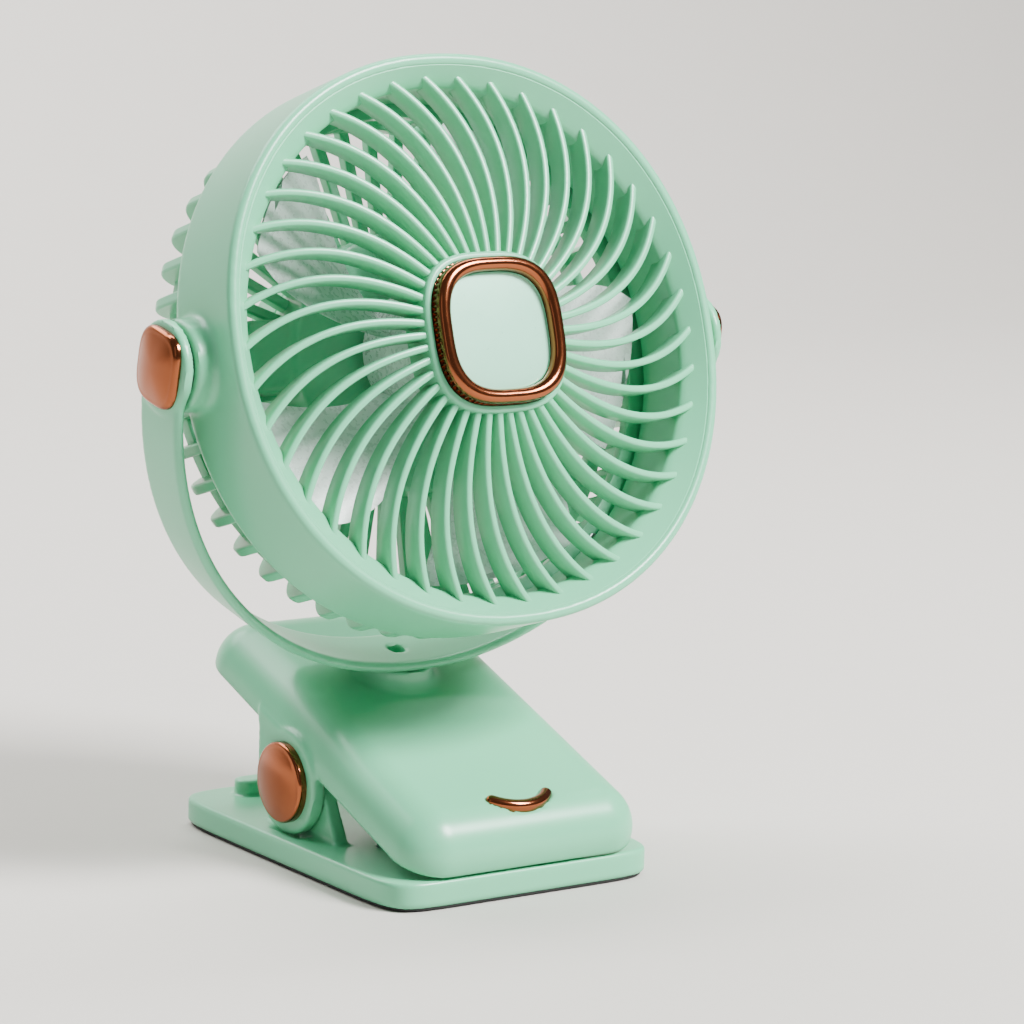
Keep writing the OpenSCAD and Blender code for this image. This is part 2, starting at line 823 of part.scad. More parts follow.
module jaw_under_cover() {
    r = jaw_edge_r - jaw_wall - cover_fit;
    x = jaw_w / 2 - jaw_wall - cover_fit;
    u0 = -jaw_front + jaw_wall + cover_fit;
    u1 = jaw_rear - jaw_wall - cover_fit;
    color("#7fbfa1")
        at_jaw()
            difference() {
                translate([0, 0, cover_low])
                    union() {
                        translate([-x, u0 + r, 0])
                            cube([2 * x, u1 - u0 - 2 * r, under_cover_t]);
                        translate([-x + r, u0, 0])
                            cube([2 * x - 2 * r, u1 - u0, under_cover_t]);
                        for (sx = [-x + r, x - r])
                            for (u = [u0 + r, u1 - r])
                                translate([sx, u, 0])
                                    cylinder(r = r, h = under_cover_t);
                    }
                for (sx = [-x - over, x - lug_cut])
                    translate([sx, -jaw_lug_r - over, cover_low - over])
                        cube([over + lug_cut, 2 * jaw_lug_r + 2 * over, under_cover_t + 2 * over]);
                cover_screw_places()
                    translate([0, 0, cover_low - over])
                        cylinder(d = cover_screw_d + 2 * run_fit, h = under_cover_t + 2 * over);
                cover_screw_places()
                    translate([0, 0, cover_low - over])
                        cylinder(d = cover_screw_head_d + 2 * run_fit, h = over + cover_screw_head_t);
            }
}

module under_cover_screws() {
    color(steel)
        at_jaw()
            cover_screw_places()
                translate([0, 0, cover_low])
                    union() {
                        cylinder(d = cover_screw_head_d, h = cover_screw_head_t);
                        cylinder(d = cover_screw_d, h = under_cover_t + cover_screw_l - soft_gap);
                    }
}

// Wedge under the nose, flat against the pad on the base when the clip is shut
module jaw_grip_pad() {
    front_y = base_front_y + pad_front + pocket_gap;
    back_y = front_y + jaw_pad_l;
    low_z = pad_top_z + face_gap;
    color("#5f7f74")
        side_extrude(-pad_w / 2 + pocket_gap, pad_w / 2 - pocket_gap)
            polygon([
                [front_y, low_z],
                [back_y, low_z],
                [back_y, jaw_plane_z(back_y, cover_low)],
                [front_y, jaw_plane_z(front_y, cover_low)]]);
}

// Right half of the bar's section: a flat foot under a bevelled crown
function trim_section(h) = [[0, -h], [h, -h], [h, bevel_low_share * h], [bevel_top_share * h, h], [0, h]];

module jaw_trim_bar() {
    section = trim_section(trim_w / 2);
    color(copper)
        at_trim() {
            rotate([0, 0, -90 - trim_half_angle])
                rotate_extrude(angle = 2 * trim_half_angle, $fn = 96)
                    translate([trim_r, 0])
                        polygon(concat(section, [for (k = [3 : -1 : 1]) [-section[k][0], section[k][1]]]));
            for (a = [-1, 1])
                rotate([0, 0, -90 + a * trim_half_angle])
                    translate([trim_r, 0, 0])
                        rotate_extrude()
                            polygon(section);
        }
}

module hinge_cap(side) {
    color(copper)
        translate([side * jaw_lug_out, hinge_y, hinge_z])
            outward(side)
                difference() {
                    dome(hinge_cap_d / 2, hinge_cap_t, hinge_cap_sag);
                    translate([0, 0, -over])
                        cylinder(d = pin_d + 2 * cap_bore_gap,
                            h = over + pin_end - jaw_lug_out + cap_bore_gap);
                }
}

module hinge_cap_left() {
    hinge_cap(-1);
}

module hinge_cap_right() {
    hinge_cap(1);
}

// Yoke
module yoke_strip() {
    intersection() {
        rotate([90, 0, 0])
            linear_extrude(height = 2 * strip_low_w, center = true)
                polygon(concat(
                    [for (i = [outline_steps / 2 : outline_steps])
                        soft_point(yoke_r, yoke_drop, yoke_square, 360 * i / outline_steps)
                            + [0, yoke_drop]],
                    [for (i = [outline_steps : -1 : outline_steps / 2])
                        soft_point(yoke_in, yoke_drop - yoke_t, yoke_square,
                            360 * i / outline_steps) + [0, yoke_drop]]));
        side_extrude(-yoke_r - over, yoke_r + over)
            polygon([
                [-strip_low_w / 2, -over], [strip_low_w / 2, -over],
                [strip_top_w / 2, yoke_drop], [-strip_top_w / 2, yoke_drop]]);
    }
}

module yoke() {
    color(mint)
        at_swivel()
            difference() {
                union() {
                    yoke_strip();
                    translate([0, 0, -post_l])
                        cylinder(d = post_d, h = post_l + yoke_t / 2);
                    for (side = [-1, 1])
                        translate([side * yoke_in, 0, yoke_drop])
                            outward(side)
                                cylinder(d = yoke_end_d, h = yoke_t);
                }
                translate([0, 0, yoke_drop])
                    rotate([0, 90, 0])
                        cylinder(d = pivot_screw_d + 2 * run_fit, h = 3 * yoke_r, center = true);
                for (side = [-1, 1])
                    translate([side * (yoke_in - washer_t - over), 0, yoke_drop])
                        outward(side)
                            cylinder(d = washer_d + 2 * pocket_gap, h = washer_t + over);
                translate([0, 0, -eye_depth])
                    cylinder(d = eye_d, h = eye_depth + yoke_t + over);
                translate([0, 0, -post_l - over])
                    cylinder(d = screw_d + 2 * run_fit, h = post_l + over);
            }
}

module swivel_washer() {
    color(steel)
        at_swivel()
            translate([0, 0, -post_l - swivel_washer_t])
                difference() {
                    cylinder(d = swivel_washer_d, h = swivel_washer_t);
                    translate([0, 0, -over])
                        cylinder(d = screw_d + 2 * run_fit, h = swivel_washer_t + 2 * over);
                }
}

module swivel_screw() {
    color(steel)
        at_swivel()
            translate([0, 0, -post_l - swivel_washer_t - swivel_head_t]) {
                cylinder(d = swivel_head_d, h = swivel_head_t);
                cylinder(d = screw_d, h = swivel_head_t + swivel_washer_t + post_l - eye_depth);
            }
}

module pivot_washers() {
    color(rubber)
        at_pivot()
            for (side = [-1, 1])
                translate([side * (yoke_in - washer_t), 0, 0])
                    outward(side)
                        difference() {
                            cylinder(d = washer_d, h = washer_t);
                            translate([0, 0, -over])
                                cylinder(d = pivot_screw_d + 2 * run_fit, h = washer_t + 2 * over);
                        }
}

module pivot_cap(side) {
    ball = (pivot_cap_h * pivot_cap_h / 4 + pivot_cap_sag * pivot_cap_sag) / (2 * pivot_cap_sag);
    color(copper)
        at_swivel()
            translate([side * yoke_r, 0, yoke_drop])
                outward(side)
                    difference() {
                        intersection() {
                            soft_plate(pivot_cap_h / 2, pivot_cap_w / 2, cap_square, pivot_cap_t);
                            translate([0, 0, pivot_cap_t - ball])
                                sphere(r = ball, $fn = 96);
                        }
                        translate([0, 0, -over])
                            cylinder(d = pivot_head_d + 2 * cap_bore_gap,
                                h = over + pivot_head_t + face_gap + cap_bore_gap);
                    }
}

module pivot_cap_left() {
    pivot_cap(-1);
}

module pivot_cap_right() {
    pivot_cap(1);
}

module pivot_screws() {
    head_x = yoke_r + face_gap;
    color(steel)
        at_pivot()
            for (side = [-1, 1])
                translate([side * (ring_in + over), 0, 0])
                    outward(side) {
                        cylinder(d = pivot_screw_d, h = head_x + pivot_head_t - ring_in - over);
                        translate([0, 0, head_x - ring_in - over])
                            cylinder(d = pivot_head_d, h = pivot_head_t);
                    }
}

// Head
module head_ring() {
    color(mint)
        difference() {
            union() {
                at_axis()
                    translate([0, 0, ring_front_z])
                        round_plate(ring_r, ring_r, ring_square, ring_depth, ring_edge_r, ring_edge_r);
                at_head()
                    for (side = [-1, 1])
                        translate([side * ring_in, 0, 0])
                            outward(side)
                                cylinder(d = boss_d, h = boss_face - ring_in);
            }
            at_axis()
                translate([0, 0, ring_front_z - over])
                    soft_plate(ring_in, ring_in, ring_square, ring_depth + 2 * over);
            at_axis()
                translate([0, 0, ring_back_z])
                    cylinder(r = yoke_r, h = boss_d);
            at_head()
                rotate([0, 90, 0])
                    cylinder(d = pivot_screw_d + 2 * run_fit, h = 3 * ring_r, center = true);
        }
}

// Front ribs: the middle line runs from the root, turned clockwise, out to the tip
rib_span = tip_r + over - rib_root_r;
function rib_angle(r) = rib_turn * (1 - pow(max(0, (r - rib_root_r) / rib_span), rib_curl));
function rib_mid(r) = [r * cos(rib_angle(r)), r * sin(rib_angle(r))];
function rib_side(r, s) =
    let (d = rib_span / 50, t = unit(rib_mid(r + d) - rib_mid(r)))
        rib_mid(r) + s * rib_t / 2 * [-t[1], t[0]];
rib_outline = concat(
    [for (k = [0 : rib_steps]) rib_side(rib_root_r + rib_span * k / rib_steps, 1)],
    [for (k = [rib_steps : -1 : 0]) rib_side(rib_root_r + rib_span * k / rib_steps, -1)]);
function dome_z(r) = rib_front_z - dome_rise * (1 - pow(r / tip_r, 2));
dome_outer = tip_r + 2 * over;
dome_steps = 6;
layer_angle = 120;

module dome_layer() {
    rotate_extrude(angle = layer_angle, $fn = 96)
        polygon(concat(
            [for (k = [0 : dome_steps])
                let (r = rib_root_r - over + (dome_outer - rib_root_r + over) * k / dome_steps)
                    [r, dome_z(r)]],
            [for (k = [dome_steps : -1 : 0])
                let (r = rib_root_r - over + (dome_outer - rib_root_r + over) * k / dome_steps)
                    [r, dome_z(r) + rib_depth]]));
}

module front_ribs() {
    for (i = [0 : rib_count - 1])
        rotate([0, 0, 360 * i / rib_count])
            intersection() {
                translate([0, 0, frame_front_z])
                    linear_extrude(height = lip_front + frame_front)
                        polygon(rib_outline);
                rotate([0, 0, -layer_angle / 2])
                    dome_layer();
            }
}

module front_band() {
    difference() {
        union() {
            translate([0, 0, band_front_z])
                soft_plate(band_out, band_out, ring_square, band_depth + duct_wall);
            translate([0, 0, band_back_z])
                cylinder(r = duct_r + duct_wall, h = duct_back_z - band_back_z);
            for (a = grille_screw_angles)
                rotate([0, 0, a])
                    translate([grille_screw_r, 0, band_back_z])
                        cylinder(d = grille_boss_d, h = duct_back_z - band_back_z);
        }
        translate([0, 0, band_front_z])
            cylinder(r1 = band_out, r2 = duct_r, h = band_depth);
        translate([0, 0, band_front_z])
            cylinder(r = duct_r, h = ring_depth);
        for (a = grille_screw_angles)
            rotate([0, 0, a])
                translate([grille_screw_r, 0, duct_back_z - grille_screw_l])
                    cylinder(d = screw_d + 2 * run_fit, h = grille_screw_l + over);
    }
}

grille_screw_angles =
    [for (i = [0 : 3]) 360 / fin_count * (floor(i * fin_count / 4) + first_screw_share)];

module hub_cup() {
    difference() {
        translate([0, 0, hub_front_z])
            round_plate(hub_r, hub_r, hub_square, hub_l, 0.5 * hub_wall, 0.5 * hub_wall);
        translate([0, 0, seat_z + hub_wall])
            soft_plate(hub_r - hub_wall, hub_r - hub_wall, hub_square, hub_l);
    }
}

module front_grille() {
    color(mint)
        at_axis()
            difference() {
                union() {
                    front_band();
                    front_ribs();
                    hub_cup();
                }
                translate([0, 0, hub_front_z - 2 * over])
                    soft_plate(frame_r + pocket_gap / 2, frame_r + pocket_gap / 2, hub_square,
                        seat_depth + 2 * over);
            }
}

module hub_ring() {
    depth = seat_z - frame_front_z;
    inner = frame_r - frame_w;
    color(copper)
        at_axis()
            translate([0, 0, frame_front_z])
                difference() {
                    round_plate(frame_r, frame_r, hub_square, depth, frame_edge_r / 4, frame_edge_r);
                    translate([0, 0, -over])
                        soft_plate(inner, inner, hub_square, depth + 2 * over);
                    hull() {
                        translate([0, 0, -2 * over])
                            soft_plate(inner + frame_edge_r, inner + frame_edge_r, hub_square, 2 * over);
                        translate([0, 0, -over])
                            soft_plate(inner, inner, hub_square, over + frame_edge_r);
                    }
                }
}

module hub_plate() {
    half = frame_r - frame_w - pocket_gap;
    color("#c8dcd4")
        at_axis()
            translate([0, 0, frame_front_z + plate_low])
                soft_plate(half, half, hub_square, seat_z - frame_front_z - plate_low);
}

// Rear grille
fin_arc = [for (k = [0 : edge_steps])
    let (a = 90 * k / edge_steps)
        [fin_r - fin_corner_r * (1 - cos(a)), fin_back_z - fin_corner_r * (1 - sin(a))]];

module fin() {
    rotate([90, 0, 0])
        linear_extrude(height = fin_t, center = true)
            polygon(concat(
                [[fin_in, ring_back_z - flange_t / 2], [fin_foot, ring_back_z - flange_t / 2],
                [fin_foot, ring_back_z + face_gap], [fin_r, ring_back_z + face_gap]],
                fin_arc,
                [[drum_r - drum_wall / 2, fin_back_z],
                [drum_r - drum_wall / 2, fin_back_z - spoke_depth],
                [rim_in + rim_lap, fin_back_z - spoke_depth],
                [fin_in, fin_back_z - spoke_depth - rim_depth / 2]]));
}

module pod_box(inset, z0, z1) {
    translate([-pod_l + inset, -pod_high + inset, z0])
        cube([pod_l - drum_r + 2 * drum_wall, pod_high - pod_low - 2 * inset, z1 - z0]);
}

module ring_at_z(r_in, r_out, z0, z1) {
    translate([0, 0, z0])
        difference() {
            cylinder(r = r_out, h = z1 - z0);
            translate([0, 0, -over])
                cylinder(r = r_in, h = z1 - z0 + 2 * over);
        }
}

module rear_grille() {
    color(mint)
        at_axis()
            difference() {
                union() {
                    ring_at_z(flange_in, ring_in - soft_gap, ring_back_z - flange_t, ring_back_z);
                    ring_at_z(rim_in, rim_out, fin_back_z - spoke_depth - rim_depth,
                        fin_back_z - spoke_depth + rim_lap);
                    for (i = [0 : fin_count - 1])
                        rotate([0, 0, 360 * i / fin_count])
                            fin();
                    difference() {
                        union() {
                            translate([0, 0, drum_front])
                                cylinder(r = drum_r, h = drum_joint_z - drum_front);
                            pod_box(0, pod_front_z, drum_joint_z);
                        }
                        translate([0, 0, motor_front_z])
                            cylinder(r = drum_r - drum_wall, h = drum_l);
                        pod_box(drum_wall, pod_front_z + drum_wall, drum_l + drum_front);
                    }
                    for (a = rear_screw_angles)
                        translate(clock(cover_screw_r, a) + [0, 0, motor_front_z - drum_wall / 2])
                            cylinder(d = rear_boss_d, h = drum_joint_z - motor_front_z + drum_wall / 2);
                }
                translate([0, 0, drum_front - over])
                    cylinder(d = bush_d + 2 * soft_gap, h = drum_wall + 2 * over);
                for (x = [-motor_screw_x, motor_screw_x])
                    translate([x, 0, drum_front - over])
                        cylinder(d = motor_screw_d + 2 * run_fit, h = drum_wall + 2 * over);
                for (a = rear_screw_angles)
                    translate(clock(cover_screw_r, a) + [0, 0, motor_front_z + drum_wall])
                        cylinder(d = screw_d + 2 * run_fit, h = drum_l);
                for (a = grille_screw_angles)
                    rotate([0, 0, a])
                        translate([grille_screw_r, 0, ring_back_z - flange_t - over])
                            cylinder(d = screw_d + 2 * run_fit, h = flange_t + 2 * over);
            }
}

module grille_screws() {
    color(steel)
        at_axis()
            for (a = grille_screw_angles)
                rotate([0, 0, a])
                    translate([grille_screw_r, 0, ring_back_z - grille_screw_l]) {
                        cylinder(d = screw_d, h = grille_screw_l);
                        translate([0, 0, grille_screw_l])
                            cylinder(d = grille_screw_head_d, h = grille_screw_head_t);
                    }
}

module rear_cover() {
    e = cover_edge_r;
    color(mint)
        at_axis()
            difference() {
                union() {
                    difference() {
                        union() {
                            rotate_extrude()
                                polygon(concat(
                                    [[0, drum_joint_z], [drum_r, drum_joint_z]],
                                    [for (k = [0 : edge_steps])
                                        let (a = 90 * k / edge_steps)
                                            [drum_r - e * (1 - cos(a)), drum_back_z - e * (1 - sin(a))]],
                                    [[0, drum_back_z]]));
                            pod_box(0, drum_joint_z, pod_back_z);
                        }
                        translate([0, 0, drum_joint_z - over])
                            cylinder(r = drum_r - drum_wall, h = cover_in_z - drum_joint_z + over);
                        pod_box(drum_wall, drum_joint_z - over, pod_in_z);
                    }
                    for (a = rear_screw_angles)
                        translate(clock(cover_screw_r, a) + [0, 0, drum_joint_z])
                            cylinder(d = rear_boss_d, h = cover_in_z - drum_joint_z + drum_wall / 2);
                    for (x = [-post_x, post_x])
                        translate([x, -post_y, board_back_z])
                            cylinder(d = post_board_d, h = cover_in_z - board_back_z + drum_wall / 2);
                }
                for (a = rear_screw_angles)
                    translate(clock(cover_screw_r, a)) {
                        translate([0, 0, drum_joint_z - over])
                            cylinder(d = screw_d + 2 * run_fit, h = cover_l + 2 * over);
                        translate([0, 0, drum_back_z - rear_screw_head_t])
                            cylinder(d = rear_screw_head_d + 2 * run_fit, h = rear_screw_head_t + over);
                    }
                translate([0, -button_y, cover_in_z - over])
                    cylinder(d = button_d + 4 * run_fit, h = drum_wall + 2 * over);
                translate([0, -light_y, cover_in_z - over])
                    cylinder(d = light_d + 2 * run_fit, h = drum_wall + 2 * over);
                translate([-pod_l - over, -port_y - port_w / 2 - port_gap, board_back_z - port_gap])
                    cube([over + drum_wall + port_sink, port_w + 2 * port_gap, port_t + 2 * port_gap]);
            }
}

module rear_cover_screws() {
    color(steel)
        at_axis()
            for (a = rear_screw_angles)
                translate(clock(cover_screw_r, a) + [0, 0, drum_back_z - rear_screw_head_t]) {
                    cylinder(d = rear_screw_head_d, h = rear_screw_head_t);
                    translate([0, 0, -rear_screw_l])
                        cylinder(d = screw_d, h = rear_screw_l);
                }
}

// Motor
module motor_can() {
    color("#a7a9ac")
        at_axis()
            difference() {
                translate([0, 0, motor_front_z])
                    cylinder(d = motor_d, h = motor_l);
                translate([0, 0, motor_front_z + motor_wall])
                    cylinder(d = motor_d - 2 * motor_wall, h = motor_l);
                translate([0, 0, motor_front_z - over])
                    cylinder(d = bush_d + 2 * run_fit, h = motor_wall + 2 * over);
                for (x = [-motor_screw_x, motor_screw_x])
                    translate([x, 0, motor_front_z - over])
                        cylinder(d = motor_screw_d + 2 * run_fit, h = motor_wall + 2 * over);
            }
}

module motor_magnets() {
    r = motor_d / 2 - motor_wall - run_fit;
    color("#3a3b3d")
        at_axis()
            for (a = [0, 180])
                rotate([0, 0, a + 90 - magnet_angle / 2])
                    translate([0, 0, motor_front_z + motor_wall + motor_screw_l / 2])
                        rotate_extrude(angle = magnet_angle, $fn = 96)
                            translate([r - magnet_t, 0])
                                square([magnet_t, magnet_l]);
}

module motor_bush() {
    color("#b98b4a")
        at_axis()
            translate([0, 0, motor_front_z - bush_front])
                difference() {
                    cylinder(d = bush_d, h = bush_l);
                    translate([0, 0, -over])
                        cylinder(d = shaft_d + 2 * run_fit, h = bush_l + 2 * over);
                }
}

module motor_end_cap() {
    color("#e8e6df")
        at_axis()
            translate([0, 0, motor_back_z - end_cap_sink])
                difference() {
                    union() {
                        cylinder(d = motor_d - 2 * motor_wall - 2 * run_fit, h = end_cap_t);
                        translate([0, 0, end_cap_sink])
                            cylinder(d = motor_d, h = end_cap_t - end_cap_sink);
                    }
                    translate([0, 0, -over])
                        cylinder(d = shaft_d + 2 * run_fit, h = end_cap_t + 2 * over);
                    for (x = [-terminal_x, terminal_x])
                        translate([x - terminal_w / 2 - run_fit, -terminal_t / 2 - run_fit, -over])
                            cube([terminal_w + 2 * run_fit, terminal_t + 2 * run_fit,
                                end_cap_t + 2 * over]);
                }
}

module motor_terminals() {
    color("#c9a24e")
        at_axis()
            for (x = [-terminal_x, terminal_x])
                translate([x - terminal_w / 2, -terminal_t / 2, motor_back_z - end_cap_sink])
                    cube([terminal_w, terminal_t, board_front_z - motor_back_z + end_cap_sink]);
}

module motor_screws() {
    color(steel)
        at_axis()
            for (x = [-motor_screw_x, motor_screw_x])
                translate([x, 0, drum_front - motor_screw_head_t]) {
                    cylinder(d = motor_screw_head_d, h = motor_screw_head_t);
                    cylinder(d = motor_screw_d, h = motor_screw_head_t + motor_screw_l);
                }
}

// Electronics
module battery_pack() {
    z0 = board_back_z + battery_gap;
    color("#b8bcc2")
        at_axis()
            translate([-battery_w / 2, -battery_top, z0])
                cube([battery_w, battery_h, cover_in_z - battery_gap - z0]);
}

module battery_leads() {
    lead_d = 1.2;
    lead_run = 2.4;
    z0 = board_back_z + battery_gap + 2 * lead_d;
    color("#a83a32")
        at_axis()
            for (x = [-2 * lead_d, 2 * lead_d]) {
                translate([x + battery_w / 3, -battery_top, z0])
                    rotate([90, 0, 0])
                        cylinder(d = lead_d, h = lead_run);
                translate([x + battery_w / 3, -battery_top - lead_run, z0])
                    sphere(d = lead_d);
                translate([x + battery_w / 3, -battery_top - lead_run, board_back_z])
                    cylinder(d = lead_d, h = z0 - board_back_z);
            }
}

module circuit_board() {
    color("#2f6b45")
        at_axis()
            translate([0, 0, board_front_z]) {
                cylinder(r = board_r, h = board_t);
                translate([-pod_l + drum_wall + port_gap, -port_y - tab_w / 2, 0])
                    cube([pod_l - drum_wall - port_gap, tab_w, board_t]);
            }
}

module button_switch() {
    color("#26282a")
        at_axis() {
            translate([-switch_w / 2, -button_y - switch_w / 2, board_back_z])
                cube([switch_w, switch_w, switch_top_z - plunger_h - board_back_z]);
            translate([0, -button_y, board_back_z])
                cylinder(d = plunger_d, h = switch_top_z - board_back_z);
        }
}

module usb_port() {
    color("#c4c7ca")
        at_axis()
            translate([-pod_l + port_sink, -port_y - port_w / 2, board_back_z])
                difference() {
                    cube([port_l, port_w, port_t]);
                    translate([-over, port_wall, port_wall])
                        cube([port_l, port_w - 2 * port_wall, port_t - 2 * port_wall]);
                }
}

module indicator_light() {
    color("#dfe9f2")
        at_axis()
            translate([0, -light_y, cover_in_z - light_flange_t]) {
                cylinder(d = light_flange_d, h = light_flange_t);
                cylinder(d = light_d, h = light_flange_t + drum_wall + light_proud);
            }
}

module power_button() {
    color("#7fbfa1")
        at_axis()
            translate([0, -button_y, button_flange_z]) {
                cylinder(d = button_d + 2 * flange_w, h = flange_button_t);
                cylinder(d = button_d, h = button_back_z - button_flange_z);
            }
}

// Rotor
function blade_share(r) = (r - rotor_hub_r) / (blade_r - rotor_hub_r);
function blade_half(r) =
    let (q = max(0, blade_share(r)))
        (blade_root_angle + (blade_tip_angle - blade_root_angle) * q) / 2
            * sqrt(1 - tip_round_share * pow(q, 6));
function blade_point(r, s, side) =
    let (a = blade_sweep * (blade_share(r) - 0.5) + s * blade_half(r))
        [r * cos(a), r * sin(a),
            blade_mid_z + s * (blade_depth - blade_t) / 2 + side * blade_t / 2];
blade_in = rotor_hub_r - rotor_wall / 2;
blade_row = blade_s_steps + 1;
blade_grid = blade_row * (blade_r_steps + 1);
blade_points = [for (side = [-1, 1]) for (i = [0 : blade_r_steps]) for (j = [0 : blade_s_steps])
    blade_point(blade_in + (blade_r - blade_in) * i / blade_r_steps,
        2 * j / blade_s_steps - 1, side)];
blade_faces = concat(
    [for (i = [0 : blade_r_steps - 1]) for (j = [0 : blade_s_steps - 1]) for (half = [0, 1])
        let (a = i * blade_row + j)
            half == 0 ? [a, a + blade_row, a + blade_row + 1] : [a, a + blade_row + 1, a + 1]],
    [for (i = [0 : blade_r_steps - 1]) for (j = [0 : blade_s_steps - 1]) for (half = [0, 1])
        let (a = blade_grid + i * blade_row + j)
            half == 0 ? [a, a + blade_row + 1, a + blade_row] : [a, a + 1, a + blade_row + 1]],
    [for (i = [0 : blade_r_steps - 1]) for (half = [0, 1])
        let (a = i * blade_row, b = a + blade_grid)
            half == 0 ? [a, b + blade_row, a + blade_row] : [a, b, b + blade_row]],
    [for (i = [0 : blade_r_steps - 1]) for (half = [0, 1])
        let (a = i * blade_row + blade_s_steps, b = a + blade_grid)
            half == 0 ? [a, a + blade_row, b + blade_row] : [a, b + blade_row, b]],
    [for (j = [0 : blade_s_steps - 1]) for (half = [0, 1])
        let (a = j, b = a + blade_grid)
            half == 0 ? [a, a + 1, b + 1] : [a, b + 1, b]],
    [for (j = [0 : blade_s_steps - 1]) for (half = [0, 1])
        let (a = blade_r_steps * blade_row + j, b = a + blade_grid)
            half == 0 ? [a, b + 1, a + 1] : [a, b, b + 1]]);

module fan_blades() {
    color("#d5dad8")
        at_axis()
            difference() {
                union() {
                    translate([0, 0, rotor_front_z])
                        cylinder(r = rotor_hub_r, h = rotor_back_z - rotor_front_z);
                    for (i = [0 : blade_count - 1])
                        rotate([0, 0, blade_first - 90 + 360 * i / blade_count])
                            polyhedron(points = blade_points, faces = blade_faces);
                }
                difference() {
                    translate([0, 0, rotor_front_z + rotor_wall])
                        cylinder(r = rotor_hub_r - rotor_wall, h = rotor_back_z - rotor_front_z);
                    translate([0, 0, rotor_front_z])
                        cylinder(r = 2 * shaft_d, h = rotor_back_z - rotor_front_z - over);
                }
                translate([0, 0, shaft_front_z - face_gap])
                    cylinder(d = shaft_d + 2 * run_fit, h = rotor_back_z - shaft_front_z);
            }
}

module motor_shaft() {
    color(steel)
        at_axis()
            translate([0, 0, shaft_front_z])
                cylinder(d = shaft_d, h = end_cap_back_z - shaft_front_z);
}

module motor_armature() {
    r = motor_d / 2 - motor_wall - run_fit - magnet_t - armature_gap;
    z0 = motor_front_z + motor_wall + motor_screw_l;
    color("#8a5a34")
        at_axis()
            difference() {
                union() {
                    translate([0, 0, z0])
                        cylinder(r = r, h = armature_l);
                    translate([0, 0, z0])
                        cylinder(d = commutator_d, h = armature_l + commutator_l - soft_gap);
                }
                translate([0, 0, z0 - over])
                    cylinder(d = shaft_d + 2 * run_fit, h = armature_l + commutator_l + 2 * over);
            }
}

base_plate();
base_foot_pad();
base_grip_pad();
hinge_pin();
torsion_spring();
jaw_shell();
jaw_under_cover();
under_cover_screws();
jaw_grip_pad();
jaw_trim_bar();
hinge_cap_left();
hinge_cap_right();
yoke();
swivel_washer();
swivel_screw();
pivot_washers();
pivot_cap_left();
pivot_cap_right();
head_ring();
front_grille();
hub_ring();
hub_plate();
rear_grille();
grille_screws();
rear_cover();
rear_cover_screws();
pivot_screws();
motor_can();
motor_magnets();
motor_bush();
motor_end_cap();
motor_terminals();
motor_screws();
battery_pack();
battery_leads();
circuit_board();
button_switch();
usb_port();
indicator_light();
fan_blades();
motor_shaft();
motor_armature();
power_button();
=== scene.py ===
"""Looks of the clip fan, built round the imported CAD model. Lengths in this script are millimetres."""

import json
import math

import bmesh
import bpy
import numpy as np
from mathutils import Matrix, Vector


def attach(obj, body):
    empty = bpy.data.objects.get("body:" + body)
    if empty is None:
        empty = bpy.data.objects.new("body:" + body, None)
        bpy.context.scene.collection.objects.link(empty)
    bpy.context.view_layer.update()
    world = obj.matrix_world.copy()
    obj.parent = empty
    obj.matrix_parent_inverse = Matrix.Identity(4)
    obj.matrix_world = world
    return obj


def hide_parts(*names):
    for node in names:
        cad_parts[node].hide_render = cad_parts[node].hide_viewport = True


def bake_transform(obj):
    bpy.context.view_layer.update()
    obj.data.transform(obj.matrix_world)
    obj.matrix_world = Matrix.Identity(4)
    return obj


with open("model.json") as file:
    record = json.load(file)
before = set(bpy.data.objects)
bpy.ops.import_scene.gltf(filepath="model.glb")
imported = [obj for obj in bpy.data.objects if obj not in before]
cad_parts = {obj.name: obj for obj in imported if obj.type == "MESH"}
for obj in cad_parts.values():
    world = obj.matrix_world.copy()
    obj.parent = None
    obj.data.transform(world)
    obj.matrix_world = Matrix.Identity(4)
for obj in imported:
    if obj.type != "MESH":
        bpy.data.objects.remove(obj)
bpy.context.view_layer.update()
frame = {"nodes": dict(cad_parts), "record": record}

MM = 0.001
SIDES = (-1, 1)

# Sizes that the looks share with the CAD model. Clip:
HINGE_Y, HINGE_Z = 2.0, 17.0
JAW_TILT = 20.125003
JAW_FRONT, JAW_REAR = -49.4, 41.8
JAW_LOW, JAW_TOP = 6.6, 17.4
JAW_HALF = 29.4
JAW_EDGE = 9.4
JAW_WALL = 2.0
LUG_IN, LUG_OUT, LUG_R = 27.0, 29.9, 11.2
HINGE_CAP_R, HINGE_CAP_T = 8.65, 3.1
BASE_LUG_IN, BASE_LUG_OUT, BASE_LUG_R = 23.5, 26.7, 6.1
BASE_TOP = 6.0
BASE_HALF, BASE_HALF_L, BASE_N = 33.5, 44.5, 10
FOOT_HALF, FOOT_HALF_L, FOOT_T = 33.0, 44.0, 1.0
BASE_MID_Y = -2.0
STOP_Y, STOP_R, STOP_HALF = 34.75, 2.75, 19.25
PAD_FRONT, PAD_BACK, PAD_HALF = -39.35, -16.65, 18.85
PAD_LOW, PAD_TOP = 5.0, 6.6
TRIM_BACK, TRIM_R, TRIM_SPAN = 7.0, 9.422, 46.2

